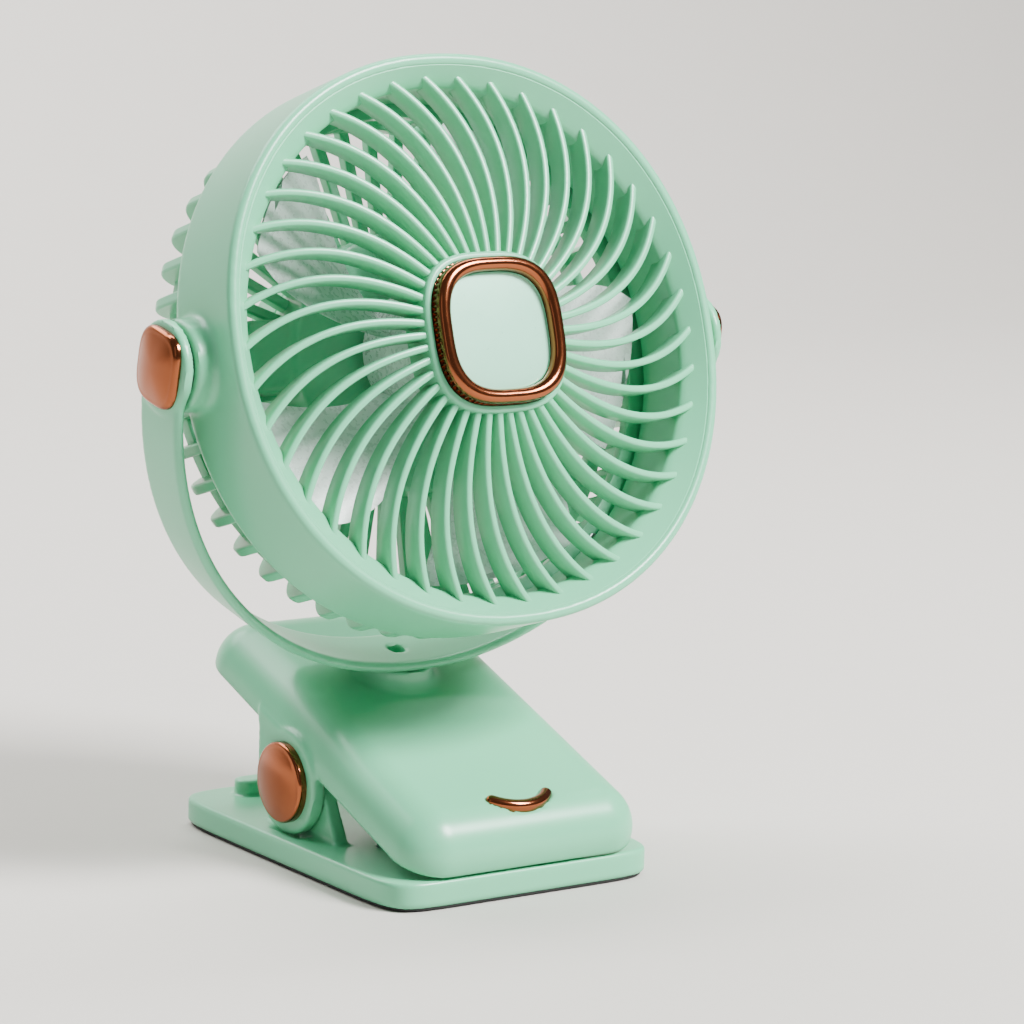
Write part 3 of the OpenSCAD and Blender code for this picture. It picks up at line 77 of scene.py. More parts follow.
# Yoke
SWIVEL_Y, SWIVEL_Z = 6.0, 40.197225
LEAN = 12.0
YOKE_R, YOKE_T, YOKE_DROP, YOKE_N = 67.5, 2.1, 69.8, 2.1
YOKE_FOOT_W, YOKE_END_W, YOKE_END_R = 16.8, 15.3, 9.5
POST_R, EYE_R, NECK_R = 4.8, 1.95, 8.0
PIVOT_CAP_R, PIVOT_CAP_T, PIVOT_CAP_N = 7.6, 2.5, 3.2

# Head, with z back along its axis
TILT = 17.5
RING_R, RING_WALL, RING_N = 60.0, 2.6, 2.14
RING_FRONT, RING_BACK = -16.4, 6.2
BOSS_R, BOSS_FACE = 9.5, 64.4
BAND_OUT, DUCT_R = 57.25, 53.5
BAND_FRONT, BAND_BACK, DUCT_BACK = -15.8, -11.9, 1.6
TIP_R = (BAND_OUT + DUCT_R) / 2
RIB_FRONT = (BAND_FRONT + BAND_BACK) / 2
RIB_COUNT, RIB_T, RIB_DEPTH, RIB_TURN, RIB_CURL = 42, 1.5, 5.5, 17.7, 1.85
DOME_RISE = 7.1
RIB_ROOT = 16.0
HUB_R, HUB_N = 16.8, 3.0
HUB_FRONT, HUB_BACK, HUB_SEAT = -21.2, -12.6, -19.4
FRAME_R, FRAME_W, FRAME_FRONT = 15.3, 3.0, -24.4
PLATE_R, PLATE_T = 12.2, 2.7
CUP_R, CUP_T = 15.3, 1.5

# Motor housing and rear grille
DRUM_R, DRUM_WALL = 28.0, 1.8
DRUM_FRONT, DRUM_JOINT, DRUM_BACK = 12.0, 24.0, 36.0
POD_OUT, POD_IN, POD_TOP, POD_LOW, POD_BACK = -38, -20, -11, 4.5, 34
BUTTON_Y, BUTTON_R, LIGHT_Y, LIGHT_R = 13.0, 5.5, 22.6, 1.4
COVER_SCREW_R, COVER_SCREW_ANGLES = 22.3, (55, 180, 305)
FIN_COUNT, FIN_T, FIN_CORNER = 46, 2.4, 6.0
FIN_IN, FIN_OUT, FIN_FOOT = 27.1, 58.8, 57.1
FIN_BACK = RING_BACK + 15.8
GRILLE_SCREW_R = 54.4
GRILLE_SCREWS = [360 / FIN_COUNT * (FIN_COUNT * k // 4 + 6.5) for k in range(4)]

SKIN_IN = 0.06                   # how far a skin's outermost side stays inside the CAD's
SEAM = 0.05                      # half of the gap between two housings
FAR = 60.0                       # beyond every form of the head, for cuts that run right through


# Places

def shift(x, y, z):
    m = np.eye(4)
    m[:3, 3] = x, y, z
    return m


def turn(axis, degrees):
    m = np.eye(4)
    m[:3, :3] = np.array(Matrix.Rotation(math.radians(degrees), 3, axis))
    return m


GROUND = np.eye(4)
HINGE = shift(0, HINGE_Y, HINGE_Z)
JAW = HINGE @ turn("X", JAW_TILT)
SWIVEL = shift(0, SWIVEL_Y, SWIVEL_Z) @ turn("X", LEAN)
PIVOT = SWIVEL @ shift(0, 0, YOKE_DROP) @ turn("X", -LEAN)
HEAD = PIVOT @ turn("X", -TILT)
AXIS = HEAD @ turn("X", -90)      # z runs back along the fan's axis and y runs down


def outward(side):
    return turn("Y", 90 * side)


# Materials

def srgb(r, g, b):
    out = []
    for v in (r, g, b):
        v /= 255
        out.append(v / 12.92 if v <= 0.04045 else ((v + 0.055) / 1.055) ** 2.4)
    return (*out, 1.0)


def surface(name, colour, rough, vary=0.04, grain=900.0, bump=0.05, spread=0.06, cloud=45.0, **sockets):
    """Moulded or metal surface: a slow drift of colour, a fine grain in the gloss and in the relief."""
    mat = bpy.data.materials.new(name)
    mat.use_nodes = True
    tree = mat.node_tree
    shader = tree.nodes["Principled BSDF"]
    link = tree.links.new
    place = tree.nodes.new("ShaderNodeTexCoord")

    def noise(scale, detail):
        node = tree.nodes.new("ShaderNodeTexNoise")
        node.inputs["Scale"].default_value = scale
        node.inputs["Detail"].default_value = detail
        link(place.outputs["Object"], node.inputs["Vector"])
        return node

    drift = noise(cloud, 2.0)
    mix = tree.nodes.new("ShaderNodeMix")
    mix.data_type = "RGBA"
    c = np.array(srgb(*colour)[:3])
    mix.inputs["A"].default_value = (*np.clip(c * (1 - vary), 0, 1), 1)
    mix.inputs["B"].default_value = (*np.clip(c * (1 + vary), 0, 1), 1)
    link(drift.outputs["Fac"], mix.inputs["Factor"])
    link(mix.outputs["Result"], shader.inputs["Base Color"])
    fine = noise(grain, 3.0)
    span = tree.nodes.new("ShaderNodeMapRange")
    span.inputs["To Min"].default_value = max(0.02, rough - spread)
    span.inputs["To Max"].default_value = min(1.0, rough + spread)
    link(fine.outputs["Fac"], span.inputs["Value"])
    link(span.outputs["Result"], shader.inputs["Roughness"])
    relief = tree.nodes.new("ShaderNodeBump")
    relief.inputs["Strength"].default_value = bump
    relief.inputs["Distance"].default_value = 0.0001
    link(fine.outputs["Fac"], relief.inputs["Height"])
    link(relief.outputs["Normal"], shader.inputs["Normal"])
    for key, value in sockets.items():
        shader.inputs[key.replace("_", " ")].default_value = value
    return mat


MINT = surface("mint", (104, 194, 150), 0.3, vary=0.02, spread=0.04, bump=0.03, Specular_IOR_Level=0.5)
MINT_DEEP = surface("mint_deep", (88, 172, 132), 0.42, vary=0.03)
COPPER = surface("copper", (148, 84, 54), 0.16, vary=0.03, grain=500, bump=0.02, spread=0.04, Metallic=1.0)
PLATE = surface("plate", (152, 220, 188), 0.3, vary=0.02, bump=0.01, Metallic=0.1, Coat_Weight=0.2)
BLADE = surface("blade", (232, 238, 236), 0.28, vary=0.02, bump=0.02, Transmission_Weight=0.12, IOR=1.45)
# Near-black pad under the base: a thin dark band along the base's lower edge.
FOOT = surface("foot", (30, 32, 31), 0.75, vary=0.15, grain=1500, bump=0.3)
# Grey-green pads on the base's top and under the jaw's nose, greyer and darker than the mint.
GREY_GREEN_PAD = surface("grip", (126, 158, 148), 0.62, vary=0.05, grain=1800, bump=0.2)
WASHER = surface("washer", (40, 44, 43), 0.6, vary=0.1, bump=0.2)
STEEL = surface("steel", (190, 192, 196), 0.3, vary=0.05, grain=1600, Metallic=1.0)
SPRING = surface("spring", (214, 216, 218), 0.18, vary=0.05, Metallic=1.0)
BRONZE = surface("bronze", (190, 148, 84), 0.35, vary=0.08, Metallic=1.0)
MAGNET = surface("magnet", (58, 58, 60), 0.6, vary=0.15, bump=0.25)
WINDING = surface("winding", (164, 92, 52), 0.35, vary=0.2, grain=2600, bump=0.5, Metallic=0.8)
WHITE = surface("white", (232, 230, 222), 0.45)
BLACK = surface("black", (34, 35, 36), 0.5, vary=0.1)
FOIL = surface("foil", (176, 180, 186), 0.3, vary=0.08, grain=300, bump=0.2, Metallic=0.6)
RED = surface("red_lead", (168, 46, 38), 0.5)
BOARD = surface("board", (44, 108, 70), 0.4, vary=0.12, grain=500)
LENS = surface("lens", (226, 238, 246), 0.12, bump=0.0, Transmission_Weight=0.8, IOR=1.49)

FINISH = {
    "mint_plastic": MINT, "mint_plastic_inner": MINT_DEEP, "copper_plating": COPPER, "hub_plate": PLATE,
    "blade_plastic": BLADE, "foot_rubber": FOOT, "grip_rubber": GREY_GREEN_PAD, "washer_rubber": WASHER,
    "steel": STEEL, "spring_steel": SPRING, "bronze": BRONZE, "terminal_brass": BRONZE,
    "magnet": MAGNET, "armature": WINDING, "white_plastic": WHITE, "black_plastic": BLACK,
    "battery_wrap": FOIL, "lead_insulation": RED, "board": BOARD, "lens": LENS}
for part in frame["record"]["subparts"]:
    node = frame["nodes"][part["node"]]
    node.data.materials.clear()
    node.data.materials.append(FINISH[part["material_slot"]])


# Meshes

def piece(name, mesh, at, body, slot, nodes=(), sharp=38.0, bevel=0.0):
    """Makes an object of (points, faces), in millimetres in the frame `at`, and lets it ride on a body."""
    points, faces = mesh
    points = np.asarray(points, float) @ at[:3, :3].T + at[:3, 3]
    data = bpy.data.meshes.new(name)
    data.from_pydata((points * MM).tolist(), [], [list(map(int, f)) for f in faces])
    bm = bmesh.new()
    bm.from_mesh(data)
    bmesh.ops.remove_doubles(bm, verts=bm.verts, dist=1e-7)
    bmesh.ops.recalc_face_normals(bm, faces=bm.faces)
    bm.to_mesh(data)
    bm.free()
    data.polygons.foreach_set("use_smooth", [True] * len(data.polygons))
    data.set_sharp_from_angle(angle=math.radians(sharp))
    obj = bpy.data.objects.new(name, data)
    bpy.context.scene.collection.objects.link(obj)
    data.materials.append(FINISH[slot])
    if bevel:
        mod = obj.modifiers.new("edges", "BEVEL")
        mod.width = bevel * MM
        mod.segments = 3
        mod.limit_method = "ANGLE"
        mod.angle_limit = math.radians(34)
        mod.harden_normals = True
    if nodes:
        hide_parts(*nodes)
    if body:
        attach(obj, body)
    return obj


def joined(meshes):
    points, faces, start = [], [], 0
    for p, f in meshes:
        points.append(np.asarray(p, float).reshape(-1, 3))
        faces += [[i + start for i in face] for face in f]
        start += len(points[-1])
    return np.concatenate(points), faces


def moved(mesh, m):
    return np.asarray(mesh[0], float) @ m[:3, :3].T + m[:3, 3], mesh[1]


def loft(rows, ring=False, loop=True, caps=True):
    """Rows of points joined into quads. ring closes the last row on the first, loop closes each row."""
    rows = np.asarray(rows, float)
    m, k = rows.shape[:2]
    faces = []
    for i in range(m if ring else m - 1):
        for j in range(k if loop else k - 1):
            a, b = i * k, ((i + 1) % m) * k
            faces.append([a + j, a + (j + 1) % k, b + (j + 1) % k, b + j])
    if caps and loop and not ring:
        faces += [list(range(k))[::-1], list(range((m - 1) * k, m * k))]
    return rows.reshape(-1, 3), faces


def soft_unit(n, steps, start=0.0):
    t = np.radians(start) + np.linspace(0, 2 * np.pi, steps, endpoint=False)
    c, s = np.cos(t), np.sin(t)
    size = (np.abs(c) ** n + np.abs(s) ** n) ** (-1 / n)
    return np.stack([size * c, size * s], 1)


def lathe(profile, n=2.0, steps=160, loop=False, stretch=0.0):
    """Profile of (radius, z) swept round a soft outline; stretch is added to the half height."""
    unit = soft_unit(n, steps)
    rows = [[(r * u[0], (r + (stretch if r > 0 else 0)) * u[1], z) for r, z in profile] for u in unit]
    return loft(rows, ring=True, loop=loop)


def bow(cx, cz, r, a0, a1, steps=8):
    return [(cx + r * math.cos(math.radians(a0 + (a1 - a0) * k / steps)),
             cz + r * math.sin(math.radians(a0 + (a1 - a0) * k / steps))) for k in range(steps + 1)]


def domed(r, t, sag, edge, steps=10):
    """Profile of a low dome with a rounded edge, from its foot to its middle."""
    ball = (r * r + sag * sag) / (2 * sag)
    rim = r - edge
    top = t - ball + math.sqrt(ball * ball - rim * rim)
    crown = [(rim * (1 - k / steps), t - ball + math.sqrt(ball * ball - (rim * (1 - k / steps)) ** 2))
             for k in range(steps + 1)]
    return [(r, 0), (r, top - edge)] + bow(rim, top - edge, edge, 8, 82, 6) + crown


# Distance fields, for forms that flow into each other

def blend_min(a, b, k):
    h = np.maximum(k - np.abs(a - b), 0) / k
    return np.minimum(a, b) - h * h * k / 4


def blend_max(a, b, k):
    return -blend_min(-a, -b, k)


def soft_distance(x, y, a, b, n):
    fx, fy = np.abs(x) / a, np.abs(y) / b
    f = np.maximum((fx ** n + fy ** n) ** (1 / n), 1e-3)
    g = np.hypot(fx ** (n - 1) / a, fy ** (n - 1) / b) / f ** (n - 1)
    return (f - 1) / np.maximum(g, 1e-4)


def slab(d, z, low, high, r):
    """Outline distance d drawn out from low to high, with edges of radius r."""
    w0 = d + r
    w1 = np.abs(z - (low + high) / 2) - (high - low) / 2 + r
    return np.hypot(np.maximum(w0, 0), np.maximum(w1, 0)) + np.minimum(np.maximum(w0, w1), 0) - r


def box(x, y, z, low, high, r):
    q = [np.abs(v - (a + b) / 2) - (b - a) / 2 + r for v, a, b in zip((x, y, z), low, high)]
    out = np.sqrt(sum(np.maximum(v, 0) ** 2 for v in q))
    return out + np.minimum(np.maximum(np.maximum(q[0], q[1]), q[2]), 0) - r


def polygon_distance(x, y, corners):
    d = np.full(np.shape(x), 1e9)
    sign = np.ones(np.shape(x))
    for (ax, ay), (bx, by) in zip(corners, corners[1:] + corners[:1]):
        ex, ey = bx - ax, by - ay
        wx, wy = x - ax, y - ay
        t = np.clip((wx * ex + wy * ey) / (ex * ex + ey * ey), 0, 1)
        d = np.minimum(d, (wx - ex * t) ** 2 + (wy - ey * t) ** 2)
        up, down, left = y >= ay, y < by, ex * wy > ey * wx
        sign = np.where((up & down & left) | (~up & ~down & ~left), -sign, sign)
    return sign * np.sqrt(d)


def skin(field, low, high, step, rounds=3):
    """Closed quad mesh on the zero of a distance field: one point per mixed cell, drawn onto the surface."""
    low, high = np.array(low, float), np.array(high, float)
    count = np.ceil((high - low) / step).astype(int) + 1
    axes = [low[i] + step * np.arange(count[i]) for i in range(3)]
    d = field(*np.meshgrid(*axes, indexing="ij"))
    total = np.zeros((*(count - 1), 3))
    hits = np.zeros(count - 1)
    for axis in range(3):
        others = [i for i in range(3) if i != axis]
        a = np.moveaxis(d, axis, 0)
        p, q = a[:-1], a[1:]
        crosses = (p < 0) != (q < 0)
        share = np.moveaxis(np.where(crosses, p / np.where(crosses, p - q, 1), 0), 0, axis)
        crosses = np.moveaxis(crosses, 0, axis)
        for u in (0, 1):
            for v in (0, 1):
                cut = [slice(None)] * 3
                cut[others[0]] = slice(u, count[others[0]] - 1 + u)
                cut[others[1]] = slice(v, count[others[1]] - 1 + v)
                hit, at = crosses[tuple(cut)], share[tuple(cut)]
                hits += hit
                total[..., axis] += at
                total[..., others[0]] += hit * u
                total[..., others[1]] += hit * v
    mixed = hits > 0
    index = np.full(mixed.shape, -1)
    index[mixed] = np.arange(mixed.sum())
    cells = np.argwhere(mixed)
    points = low + step * (cells + total[mixed] / hits[mixed][:, None])
    faces = []
    for axis in range(3):
        o0, o1 = [i for i in range(3) if i != axis]
        a = np.moveaxis(d, axis, 0)
        crosses = np.moveaxis((a[:-1] < 0) != (a[1:] < 0), 0, axis)
        inner = [slice(None)] * 3
        inner[o0] = slice(1, count[o0] - 1)
        inner[o1] = slice(1, count[o1] - 1)
        where = np.argwhere(crosses[tuple(inner)])
        where[:, o0] += 1
        where[:, o1] += 1
        quad = []
        for u, v in ((0, 0), (1, 0), (1, 1), (0, 1)):
            c = where.copy()
            c[:, o0] -= u
            c[:, o1] -= v
            quad.append(index[c[:, 0], c[:, 1], c[:, 2]])
        faces.append(np.stack(quad, 1))
    faces = np.concatenate(faces)
    edges = np.concatenate([faces[:, [0, 1]], faces[:, [1, 2]], faces[:, [2, 3]], faces[:, [3, 0]]])
    e = 0.02
    for k in range(rounds + 2):
        if k < rounds:
            near = np.zeros_like(points)
            number = np.zeros(len(points))
            for i, j in ((0, 1), (1, 0)):
                for c in range(3):
                    near[:, c] += np.bincount(edges[:, i], points[edges[:, j], c], len(points))
                number += np.bincount(edges[:, i], minlength=len(points))
            points = 0.5 * points + 0.5 * near / number[:, None]
        x, y, z = points.T
        here = field(x, y, z)
        slope = np.stack([field(x + e, y, z) - field(x - e, y, z), field(x, y + e, z) - field(x, y - e, z),
                          field(x, y, z + e) - field(x, y, z - e)], 1) / (2 * e)
        size = np.maximum((slope ** 2).sum(1), 0.2)
        points = points - np.clip(here / size, -step / 2, step / 2)[:, None] * slope
    return points, faces.tolist()


# Head

def ring_field(x, y, z):
    rho = soft_distance(x, y, RING_R - SKIN_IN, RING_R - SKIN_IN, RING_N)
    wall = slab(np.abs(rho + RING_WALL / 2) - RING_WALL / 2, z, RING_FRONT, RING_BACK, 1.2)
    boss = slab(np.hypot(y, z) - BOSS_R, np.abs(x), RING_R - 20, BOSS_FACE, 0.6)
    out = blend_max(blend_min(wall, boss, 1.6), z - RING_BACK, 0.3)
    return blend_max(out, -(rho + RING_WALL), 0.3)


piece("ring_skin", skin(ring_field, (-66, -62, -18), (66, 62, 7.5), 0.75), AXIS, "head", "mint_plastic",
      ["head_ring"], sharp=60)


def front_band():
    """Cone from the ring's soft outline to the round duct, and the duct behind it."""
    outer, inner = soft_unit(RING_N, 200), soft_unit(2.0, 200)
    rim = BAND_OUT + 0.6           # laps into the ring, so that no seam shows
    top = BAND_OUT + 0.1
    wall = DUCT_R + 1.5
    mouth, mouth_z = DUCT_R + 0.4, BAND_BACK - 0.25
    cone_steps = 5
    rows = []
    for o, i in zip(outer, inner):
        section = [(o * (rim - 0.2), BAND_FRONT), (o * rim, BAND_FRONT + 0.2),
                   (o * rim, BAND_BACK + 1.5), (i * wall, BAND_BACK + 2.6),
                   (i * wall, DUCT_BACK), (i * DUCT_R, DUCT_BACK), (i * DUCT_R, BAND_BACK + 0.8),
                   (i * (DUCT_R + 0.1), BAND_BACK + 0.3), (i * mouth, mouth_z)]
        for k in range(1, cone_steps + 1):
            share = k / cone_steps
            section.append((i * mouth + (o * top - i * mouth) * share,
                            mouth_z + (BAND_FRONT - mouth_z) * share))
        rows.append([(*p, z) for p, z in section])
    return loft(rows, ring=True)


piece("front_band", front_band(), AXIS, "head", "mint_plastic", ["front_grille"], sharp=30)


def rib_point(r, side, start=RIB_ROOT, end=TIP_R + 1):
    """Point of a rib at radius r, set off to one side of its curved middle line."""
    def middle(q):
        a = math.radians(RIB_TURN * (1 - max(0.0, (q - start) / (end - start)) ** RIB_CURL))
        return np.array([q * math.cos(a), q * math.sin(a)])
    t = middle(r + 0.5) - middle(r)
    t /= np.hypot(*t)
    return middle(r) + side * np.array([-t[1], t[0]])


def ribs():
    """Ribs with rounded fronts, each a row of sections from the hub's wall to the cone."""
    steps = 26
    half = RIB_T / 2
    front_edge = [(-0.62, 0.16), (-0.36, 0.02), (0, 0), (0.36, 0.02), (0.62, 0.16)]
    section = ([(-half, RIB_DEPTH - 0.3), (-half, 0.5)] + front_edge
               + [(half, 0.5), (half, RIB_DEPTH - 0.3), (0.5, RIB_DEPTH), (-0.5, RIB_DEPTH)])
    out = []
    for k in range(RIB_COUNT):
        base = 360 * k / RIB_COUNT
        root = math.radians(base + RIB_TURN)
        wall = (abs(math.cos(root)) ** HUB_N + abs(math.sin(root)) ** HUB_N) ** (-1 / HUB_N)
        r0 = max(RIB_ROOT, (HUB_R - 0.8) * wall)
        rows = []
        for i in range(steps + 1):
            r = r0 + (TIP_R + 0.9 - r0) * i / steps
            front = RIB_FRONT - DOME_RISE * (1 - (r / TIP_R) ** 2)
            rows.append([(*rib_point(r, s), front + w) for s, w in section])
        out.append(moved(loft(rows), turn("Z", base)))
    return joined(out)


piece("front_ribs", ribs(), AXIS, "head", "mint_plastic", sharp=50)


def hub_cup():
    """Seat of the copper frame in front, hollow behind."""
    bore, edge = CUP_R + 0.075, 0.8
    profile = [(0, HUB_SEAT), (bore, HUB_SEAT), (bore, HUB_FRONT + 0.25), (CUP_R + 0.3, HUB_FRONT),
               (HUB_R - edge, HUB_FRONT)]
    profile += bow(HUB_R - edge, HUB_FRONT + edge, edge, -90, 0, 6)
    profile += [(HUB_R, HUB_BACK - 0.4), (HUB_R - 0.4, HUB_BACK), (CUP_R + 0.3, HUB_BACK),
                (CUP_R, HUB_BACK - 0.3), (CUP_R, HUB_SEAT + CUP_T), (0, HUB_SEAT + CUP_T)]
    return lathe(profile, HUB_N, 200)


piece("hub_cup", hub_cup(), AXIS, "head", "mint_plastic", sharp=35)


def hub_frame():
    """Copper frame with a knurled side: every ridge and groove is two steps of the outline wide."""
    knurl_depth, bead = 0.3, FRAME_W / 2
    rows = []
    for k, unit in enumerate(soft_unit(HUB_N, 360)):
        groove = knurl_depth if k % 4 > 1 else 0.0
        section = [(FRAME_R, HUB_SEAT), (FRAME_R, HUB_FRONT), (FRAME_R - groove, HUB_FRONT - 0.05),
                   (FRAME_R - groove, HUB_FRONT - 1.45), (FRAME_R, HUB_FRONT - 1.6)]
        section += bow(FRAME_R - bead, FRAME_FRONT + bead, bead, -8, -172, 14)
        section += [(FRAME_R - FRAME_W, FRAME_FRONT + bead), (FRAME_R - FRAME_W, HUB_SEAT)]
        rows.append([(r * unit[0], r * unit[1], z) for r, z in section])
    return loft(rows, ring=True)


piece("hub_frame", hub_frame(), AXIS, "head", "copper_plating", ["hub_ring"], sharp=40)

face = lathe([(PLATE_R, PLATE_T - 0.1)] + domed(PLATE_R, PLATE_T, 0.35, 0.3)[2:], HUB_N, 160)
piece("hub_face", moved(face, shift(0, 0, HUB_SEAT) @ turn("X", 180)),
      AXIS, "head", "hub_plate", ["hub_plate"], sharp=50)


# Rotor

ROTOR_HUB, BLADE_TIP, BLADE_COUNT, BLADE_START = 14.0, 49.0, 5, -73


def blade():
    """Twisted blade, thinner at its edges and its tip; the row runs along one face and back on the other."""
    mid, depth, thick = 1.4, 12.0, 1.2
    root_span, more_at_tip, sweep = 34, 12, 20      # degrees
    steps_r, steps_s = 22, 20
    rows = []
    for i in range(steps_r + 1):
        r = ROTOR_HUB - 1.0 + (BLADE_TIP - ROTOR_HUB + 1.0) * i / steps_r
        q = (r - ROTOR_HUB) / (BLADE_TIP - ROTOR_HUB)
        half = (root_span + more_at_tip * q) / 2 * math.sqrt(1 - 0.35 * max(0.0, q) ** 6)
        row = []
        for side in SIDES:
            for j in range(steps_s + 1):
                s = (2 * j / steps_s - 1) * (-side)
                a = math.radians(sweep * (q - 0.5) + s * half)
                w = thick / 2 * (1 - 0.75 * abs(s) ** 6) * (1 - 0.5 * max(0.0, q) ** 10)
                row.append((r * math.cos(a), r * math.sin(a), mid + s * (depth - thick) / 2 + side * w))
        rows.append(row)
    return loft(rows)


def rotor():
    blades = [moved(blade(), turn("Z", BLADE_START + 360 / BLADE_COUNT * k)) for k in range(BLADE_COUNT)]
    front, back, wall, edge = -11.0, 9.0, 1.6, 1.8
    inner = ROTOR_HUB - wall
    profile = [(0, front), (8, front), (12.0, front + 0.3)]
    profile += bow(ROTOR_HUB - edge, front + 2.1, edge, -80, 0, 6)
    profile += [(ROTOR_HUB, back - 0.4), (ROTOR_HUB - 0.4, back), (inner + 0.2, back), (inner, back - 0.4),
                (inner, front + edge), (0, front + edge)]
    return joined(blades + [lathe(profile, 2, 96)])


piece("rotor_blades", rotor(), AXIS, "rotor", "blade_plastic", ["fan_blades"], sharp=45)


# Rear grille

def fin():
    """Fin in its own plane: from the flange, round the corner and in to the housing."""
    foot_z, heel_z = 4.8, RING_BACK + 0.1
    bar_in, bar_z = 51.4, FIN_BACK - 3.0
    outline = [(bar_in + 1.0, foot_z), (FIN_FOOT, foot_z), (FIN_FOOT, heel_z), (FIN_OUT, heel_z)]
    outline += bow(FIN_OUT - FIN_CORNER, FIN_BACK - FIN_CORNER, FIN_CORNER, 0, 90, 8)
    outline += [(FIN_IN, FIN_BACK), (FIN_IN, bar_z), (bar_in, bar_z), (bar_in + 1.0, bar_z - 1.4)]
    return loft([[(x, y, z) for x, z in outline] for y in (-FIN_T / 2, FIN_T / 2)])


fins = [moved(fin(), turn("Z", 360 * k / FIN_COUNT)) for k in range(FIN_COUNT)]
piece("rear_fins", joined(fins), AXIS, "head", "mint_plastic", ["rear_grille"], sharp=30, bevel=0.6)


def hoop(r_in, r_out, z0, z1, edge):
    profile = bow(r_out - edge, z1 - edge, edge, 0, 90, 4) + bow(r_in + edge, z1 - edge, edge, 90, 180, 4) \
        + bow(r_in + edge, z0 + edge, edge, 180, 270, 4) + bow(r_out - edge, z0 + edge, edge, 270, 360, 4)
    return lathe(profile, 2, 200, loop=True)


flange = hoop(51, FIN_FOOT, RING_BACK - 2.8, RING_BACK, 0.3)
fin_hoop = hoop(51.4, 54.4, FIN_BACK - 5.8, FIN_BACK - 2.5, 0.4)
piece("rear_rings", joined([flange, fin_hoop]), AXIS, "head", "mint_plastic", sharp=40)


def drum_walls(x, y, z, low, high, round_edge, pod_low, pod_high, pod_edge):
    """Round motor housing with the control pod on its side."""
    drum = slab(np.hypot(x, y) - DRUM_R, z, low, high, round_edge)
    pod = box(x, y, z, (POD_OUT, POD_TOP, pod_low), (POD_IN, POD_LOW, pod_high), pod_edge)
    return blend_min(drum, pod, 2.0)


def drum_room(x, y, z, low, high, pod_low, pod_high):
    w = DRUM_WALL
    return np.minimum(slab(np.hypot(x, y) - DRUM_R + w, z, low, high, 0.5),
                      box(x, y, z, (POD_OUT + w, POD_TOP + w, pod_low), (POD_IN, POD_LOW - w, pod_high), 0.5))


def drum_field(x, y, z):
    body = drum_walls(x, y, z, DRUM_FRONT, FAR, 0.8, DRUM_FRONT + 1.6, FAR, 1.6)
    room = drum_room(x, y, z, DRUM_FRONT + DRUM_WALL, FAR + 30, DRUM_FRONT + 3.4, FAR + 30)
    shaft_bore = np.hypot(x, y) - 3.3
    out = blend_max(body, -room, 0.2)
    out = blend_max(out, z - DRUM_JOINT + SEAM, 0.5)
    return np.maximum(out, -shaft_bore)


piece("rear_housing", skin(drum_field, (-40, -30, 10), (30, 30, 26), 0.7),
      AXIS, "head", "mint_plastic", sharp=60)


def cover_field(x, y, z):
    body = drum_walls(x, y, z, 0, DRUM_BACK, 2.4, 0, POD_BACK, 1.8)
    room = drum_room(x, y, z, -20, DRUM_BACK - DRUM_WALL, -20, POD_BACK - DRUM_WALL)
    out = blend_max(body, -room, 0.2)
    out = blend_max(out, DRUM_JOINT + SEAM - z, 0.5)
    button = np.hypot(x, y + BUTTON_Y)
    dish = np.hypot(button / 3.0, z - DRUM_BACK - 1.8) - 2.6
    out = blend_max(out, -dish, 0.6)
    out = np.maximum(out, BUTTON_R + 0.15 - button)
    out = np.maximum(out, LIGHT_R - np.hypot(x, y + LIGHT_Y))
    for a in COVER_SCREW_ANGLES:
        sx, sy = COVER_SCREW_R * math.sin(math.radians(a)), -COVER_SCREW_R * math.cos(math.radians(a))
        recess = slab(np.hypot(x - sx, y - sy) - 2.15, z, DRUM_BACK - 1.7, FAR - 10, 0.1)
        out = blend_max(out, -recess, 0.3)
    port = box(x, y, z, (POD_OUT - 7, -7.9, 28.2), (POD_OUT + 2.8, 1.4, 31.8), 1.2)
    return blend_max(out, -port, 0.3)


piece("rear_cap", skin(cover_field, (-40, -30, 22), (30, 30, 38), 0.6), AXIS, "head", "mint_plastic",
      ["rear_cover"], sharp=60)


def button_cap():
    """Button with a collar behind the cover and a dished top."""
    collar, low, edge, top = BUTTON_R + 0.75, 33.05, 0.5, 36.3
    profile = [(0, low), (collar, low), (collar, low + 1.0), (BUTTON_R, low + 1.0), (BUTTON_R, top)]
    profile += bow(BUTTON_R - edge, top, edge, 0, 90, 5)
    profile += [(4.2, top + 0.42), (3.2, top + 0.25), (1.8, top + 0.12), (0, top + 0.08)]
    return lathe(profile, 2, 72)


piece("button_cap", moved(button_cap(), shift(0, -BUTTON_Y, 0)),
      AXIS, "button", "mint_plastic_inner", ["power_button"], sharp=40)


# Screws

def screw_mesh(d, t, shank_d, shank, step=0.14):
    """Head at z 0 to t with a cross recess, shank running down."""
    def field(x, y, z):
        head = slab(np.hypot(x, y) - d / 2, z, 0, t, 0.3 * t)
        stem = slab(np.hypot(x, y) - shank_d / 2, z, -shank, t / 2, 0.2)
        half_w, half_l = 0.09 * d, 0.3 * d
        arm = np.minimum(np.maximum(np.abs(x) - half_w, np.abs(y) - half_l),
                         np.maximum(np.abs(y) - half_w, np.abs(x) - half_l))
        return blend_max(np.minimum(head, stem), -np.maximum(arm, t * 0.45 - z), 0.15)
    r = d / 2 + 0.4
    return skin(field, (-r, -r, -shank - 0.3), (r, r, t + 0.3), step, rounds=2)


def on_clock(r, a, z):
    return shift(r * math.sin(math.radians(a)), -r * math.cos(math.radians(a)), z)


